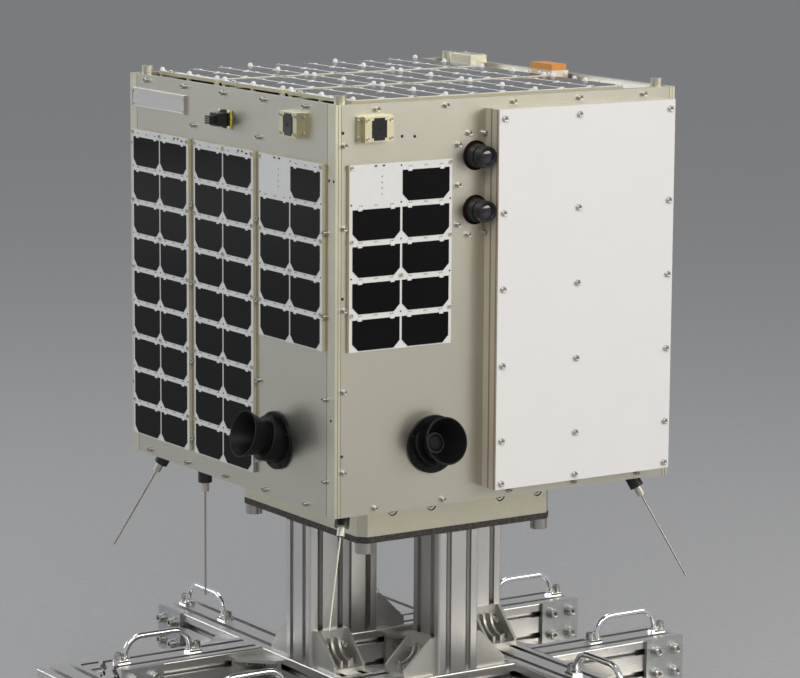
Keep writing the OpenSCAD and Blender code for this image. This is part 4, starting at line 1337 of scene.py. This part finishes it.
class SATELLITE_OT_adapter_trim(bpy.types.Operator):
    """Sets the screws in the adapter's recesses"""

    bl_idname = "satellite.adapter_trim"
    bl_label = "Adapter trim"

    def execute(self, context):
        half = (high("adapter_ring").x - low("adapter_ring").x) / 2 / MM
        chamfer, rim, recess_r, first, pitch = 10, 7, 7, 52.5, 58
        drop, recess_depth = 26.5, 8
        middle_x = half - chamfer - rim - recess_r - first - pitch
        out = half - BODY_HALF / MM - recess_depth
        spots = [on_face(turn, middle_x + side * x, -drop, out)
                 for turn in (FRONT, RIGHT, REAR, LEFT)
                 for side in (-1, 1) for x in (first, first + pitch)]
        piece("adapter_recess_screws", "screw_steel",
              cap_screw(12.5, 7.4, 6), spots)
        return {"FINISHED"}


# ---------- Stage ----------

# Lights: place, width and height in metres, power and colour. The softboxes are aimed at
# the body and the washes at the floor.
LIGHTS = {
    "key_softbox": ((-1.4, -2.8, 2.9), 2.2, 1.6, 50, (1.0, 0.97, 0.92)),
    "side_softbox": ((-2.6, 2.8, 1.9), 2.6, 1.2, 24, (0.90, 0.95, 1.0)),
    "right_softbox": ((2.0, -3.2, 1.9), 2.8, 1.2, 50, (1.0, 0.95, 0.86)),
    "overhead_softbox": ((0.2, 0.6, 3.2), 2.0, 2.0, 24, (1.0, 1.0, 1.0)),
    "left_wash": ((-3.6, 5.2, 1.5), 1.8, 1.8, 70, (0.95, 0.96, 1.0)),
    "right_wash": ((3.4, -5.4, 1.5), 1.8, 1.8, 60, (1.0, 0.95, 0.84)),
}


class SATELLITE_OT_stage(bpy.types.Operator):
    """Lays the floor and sets the lights and the camera"""

    bl_idname = "satellite.stage"
    bl_label = "Stage"

    def execute(self, context):
        self.floor(context.scene)
        self.lights(context.scene)
        self.camera(context.scene)
        context.scene.view_settings.view_transform = "Standard"
        return {"FINISHED"}

    def floor(self, scene):
        """A square grid of tiles round the model and behind it."""
        tiles, half, middle_x, middle_y = 40, 18, 9, 11
        step = np.linspace(-1, 1, tiles + 1)
        x, y = np.meshgrid(middle_x + step * half, middle_y + step * half, indexing="ij")
        points = np.stack([x, y, np.zeros_like(x)], axis=-1).reshape(-1, 3)
        i, j = np.meshgrid(np.arange(tiles), np.arange(tiles), indexing="ij")
        start = i * (tiles + 1) + j
        faces = np.stack([start, start + tiles + 1, start + tiles + 2, start + 1], axis=-1)
        mesh = bpy.data.meshes.new("floor")
        mesh.from_pydata(points.tolist(), [], faces.reshape(-1, 4).tolist())
        mesh.materials.append(look("studio_floor"))
        floor = bpy.data.objects.new("floor", mesh)
        scene.collection.objects.link(floor)

    def lights(self, scene):
        """A pale room and the lights."""
        world = bpy.data.worlds.new("studio")
        world.use_nodes = True
        background = world.node_tree.nodes["Background"]
        background.inputs["Color"].default_value = (0.88, 0.90, 0.93, 1.0)
        background.inputs["Strength"].default_value = 0.46
        scene.world = world
        centre = Vector((0, 0, BODY_Z + BODY_H * 0.6))
        for name, (place, wide, tall, power, tone) in LIGHTS.items():
            light = bpy.data.lights.new(name, "AREA")
            light.shape = "RECTANGLE"
            light.size, light.size_y = wide, tall
            light.energy = power
            light.color = tone
            lamp = bpy.data.objects.new(name, light)
            lamp.location = place
            aim = centre if name.endswith("softbox") else Vector((place[0], place[1], 0))
            lamp.rotation_euler = (aim - Vector(place)).to_track_quat("-Z", "Y").to_euler()
            scene.collection.objects.link(lamp)

    def camera(self, scene):
        """The camera, from its place and angles on the panel."""
        values = scene.satellite_sizes
        a, e = values.camera_azimuth, values.camera_elevation
        right = Vector((math.cos(a), math.sin(a), 0))
        back = Vector((math.sin(a) * math.cos(e), -math.cos(a) * math.cos(e), math.sin(e)))
        turned = Matrix((right, back.cross(right), back)).transposed().to_4x4()
        camera = bpy.data.objects.new("camera", bpy.data.cameras.new("camera"))
        camera.data.lens = values.focal_length / MM
        camera.data.sensor_width = 36
        camera.data.clip_end = 50
        camera.matrix_world = (Matrix.Translation(values.camera_place) @ turned
                               @ Matrix.Rotation(values.camera_roll, 4, "Z"))
        scene.collection.objects.link(camera)
        scene.camera = camera


class SATELLITE_PT_panel(bpy.types.Panel):
    """Lists the steps in the 3D view's sidebar"""

    bl_idname = "SATELLITE_PT_panel"
    bl_label = "Satellite"
    bl_space_type = "VIEW_3D"
    bl_region_type = "UI"
    bl_category = "Satellite"

    def draw(self, context):
        for step in STEPS:
            self.layout.operator(step.bl_idname)
        for group in (context.scene.satellite_colours, context.scene.satellite_sizes):
            for name in group.__annotations__:
                self.layout.prop(group, name)


STEPS = (
    SATELLITE_OT_frame_finishes,
    SATELLITE_OT_panel_screws,
    SATELLITE_OT_board_hardware,
    SATELLITE_OT_radiator_screws,
    SATELLITE_OT_camera_optics,
    SATELLITE_OT_tracker_optics,
    SATELLITE_OT_sensor_trim,
    SATELLITE_OT_unit_trim,
    SATELLITE_OT_bracket_hardware,
    SATELLITE_OT_plate_hardware,
    SATELLITE_OT_handle_hardware,
    SATELLITE_OT_foot_hardware,
    SATELLITE_OT_adapter_trim,
    SATELLITE_OT_stage,
)
CLASSES = (SatelliteColours, SatelliteSizes, *STEPS, SATELLITE_PT_panel)


def register():
    """Registers the classes and adds the settings to the scene."""
    for made in CLASSES:
        bpy.utils.register_class(made)
    bpy.types.Scene.satellite_colours = bpy.props.PointerProperty(type=SatelliteColours)
    bpy.types.Scene.satellite_sizes = bpy.props.PointerProperty(type=SatelliteSizes)


def unregister():
    """Takes the settings and the classes away again."""
    del bpy.types.Scene.satellite_sizes
    del bpy.types.Scene.satellite_colours
    for made in reversed(CLASSES):
        bpy.utils.unregister_class(made)


def main():
    register()
    for step in STEPS:
        group, name = step.bl_idname.split(".")
        getattr(getattr(bpy.ops, group), name)()


if __name__ == "__main__":
    main()
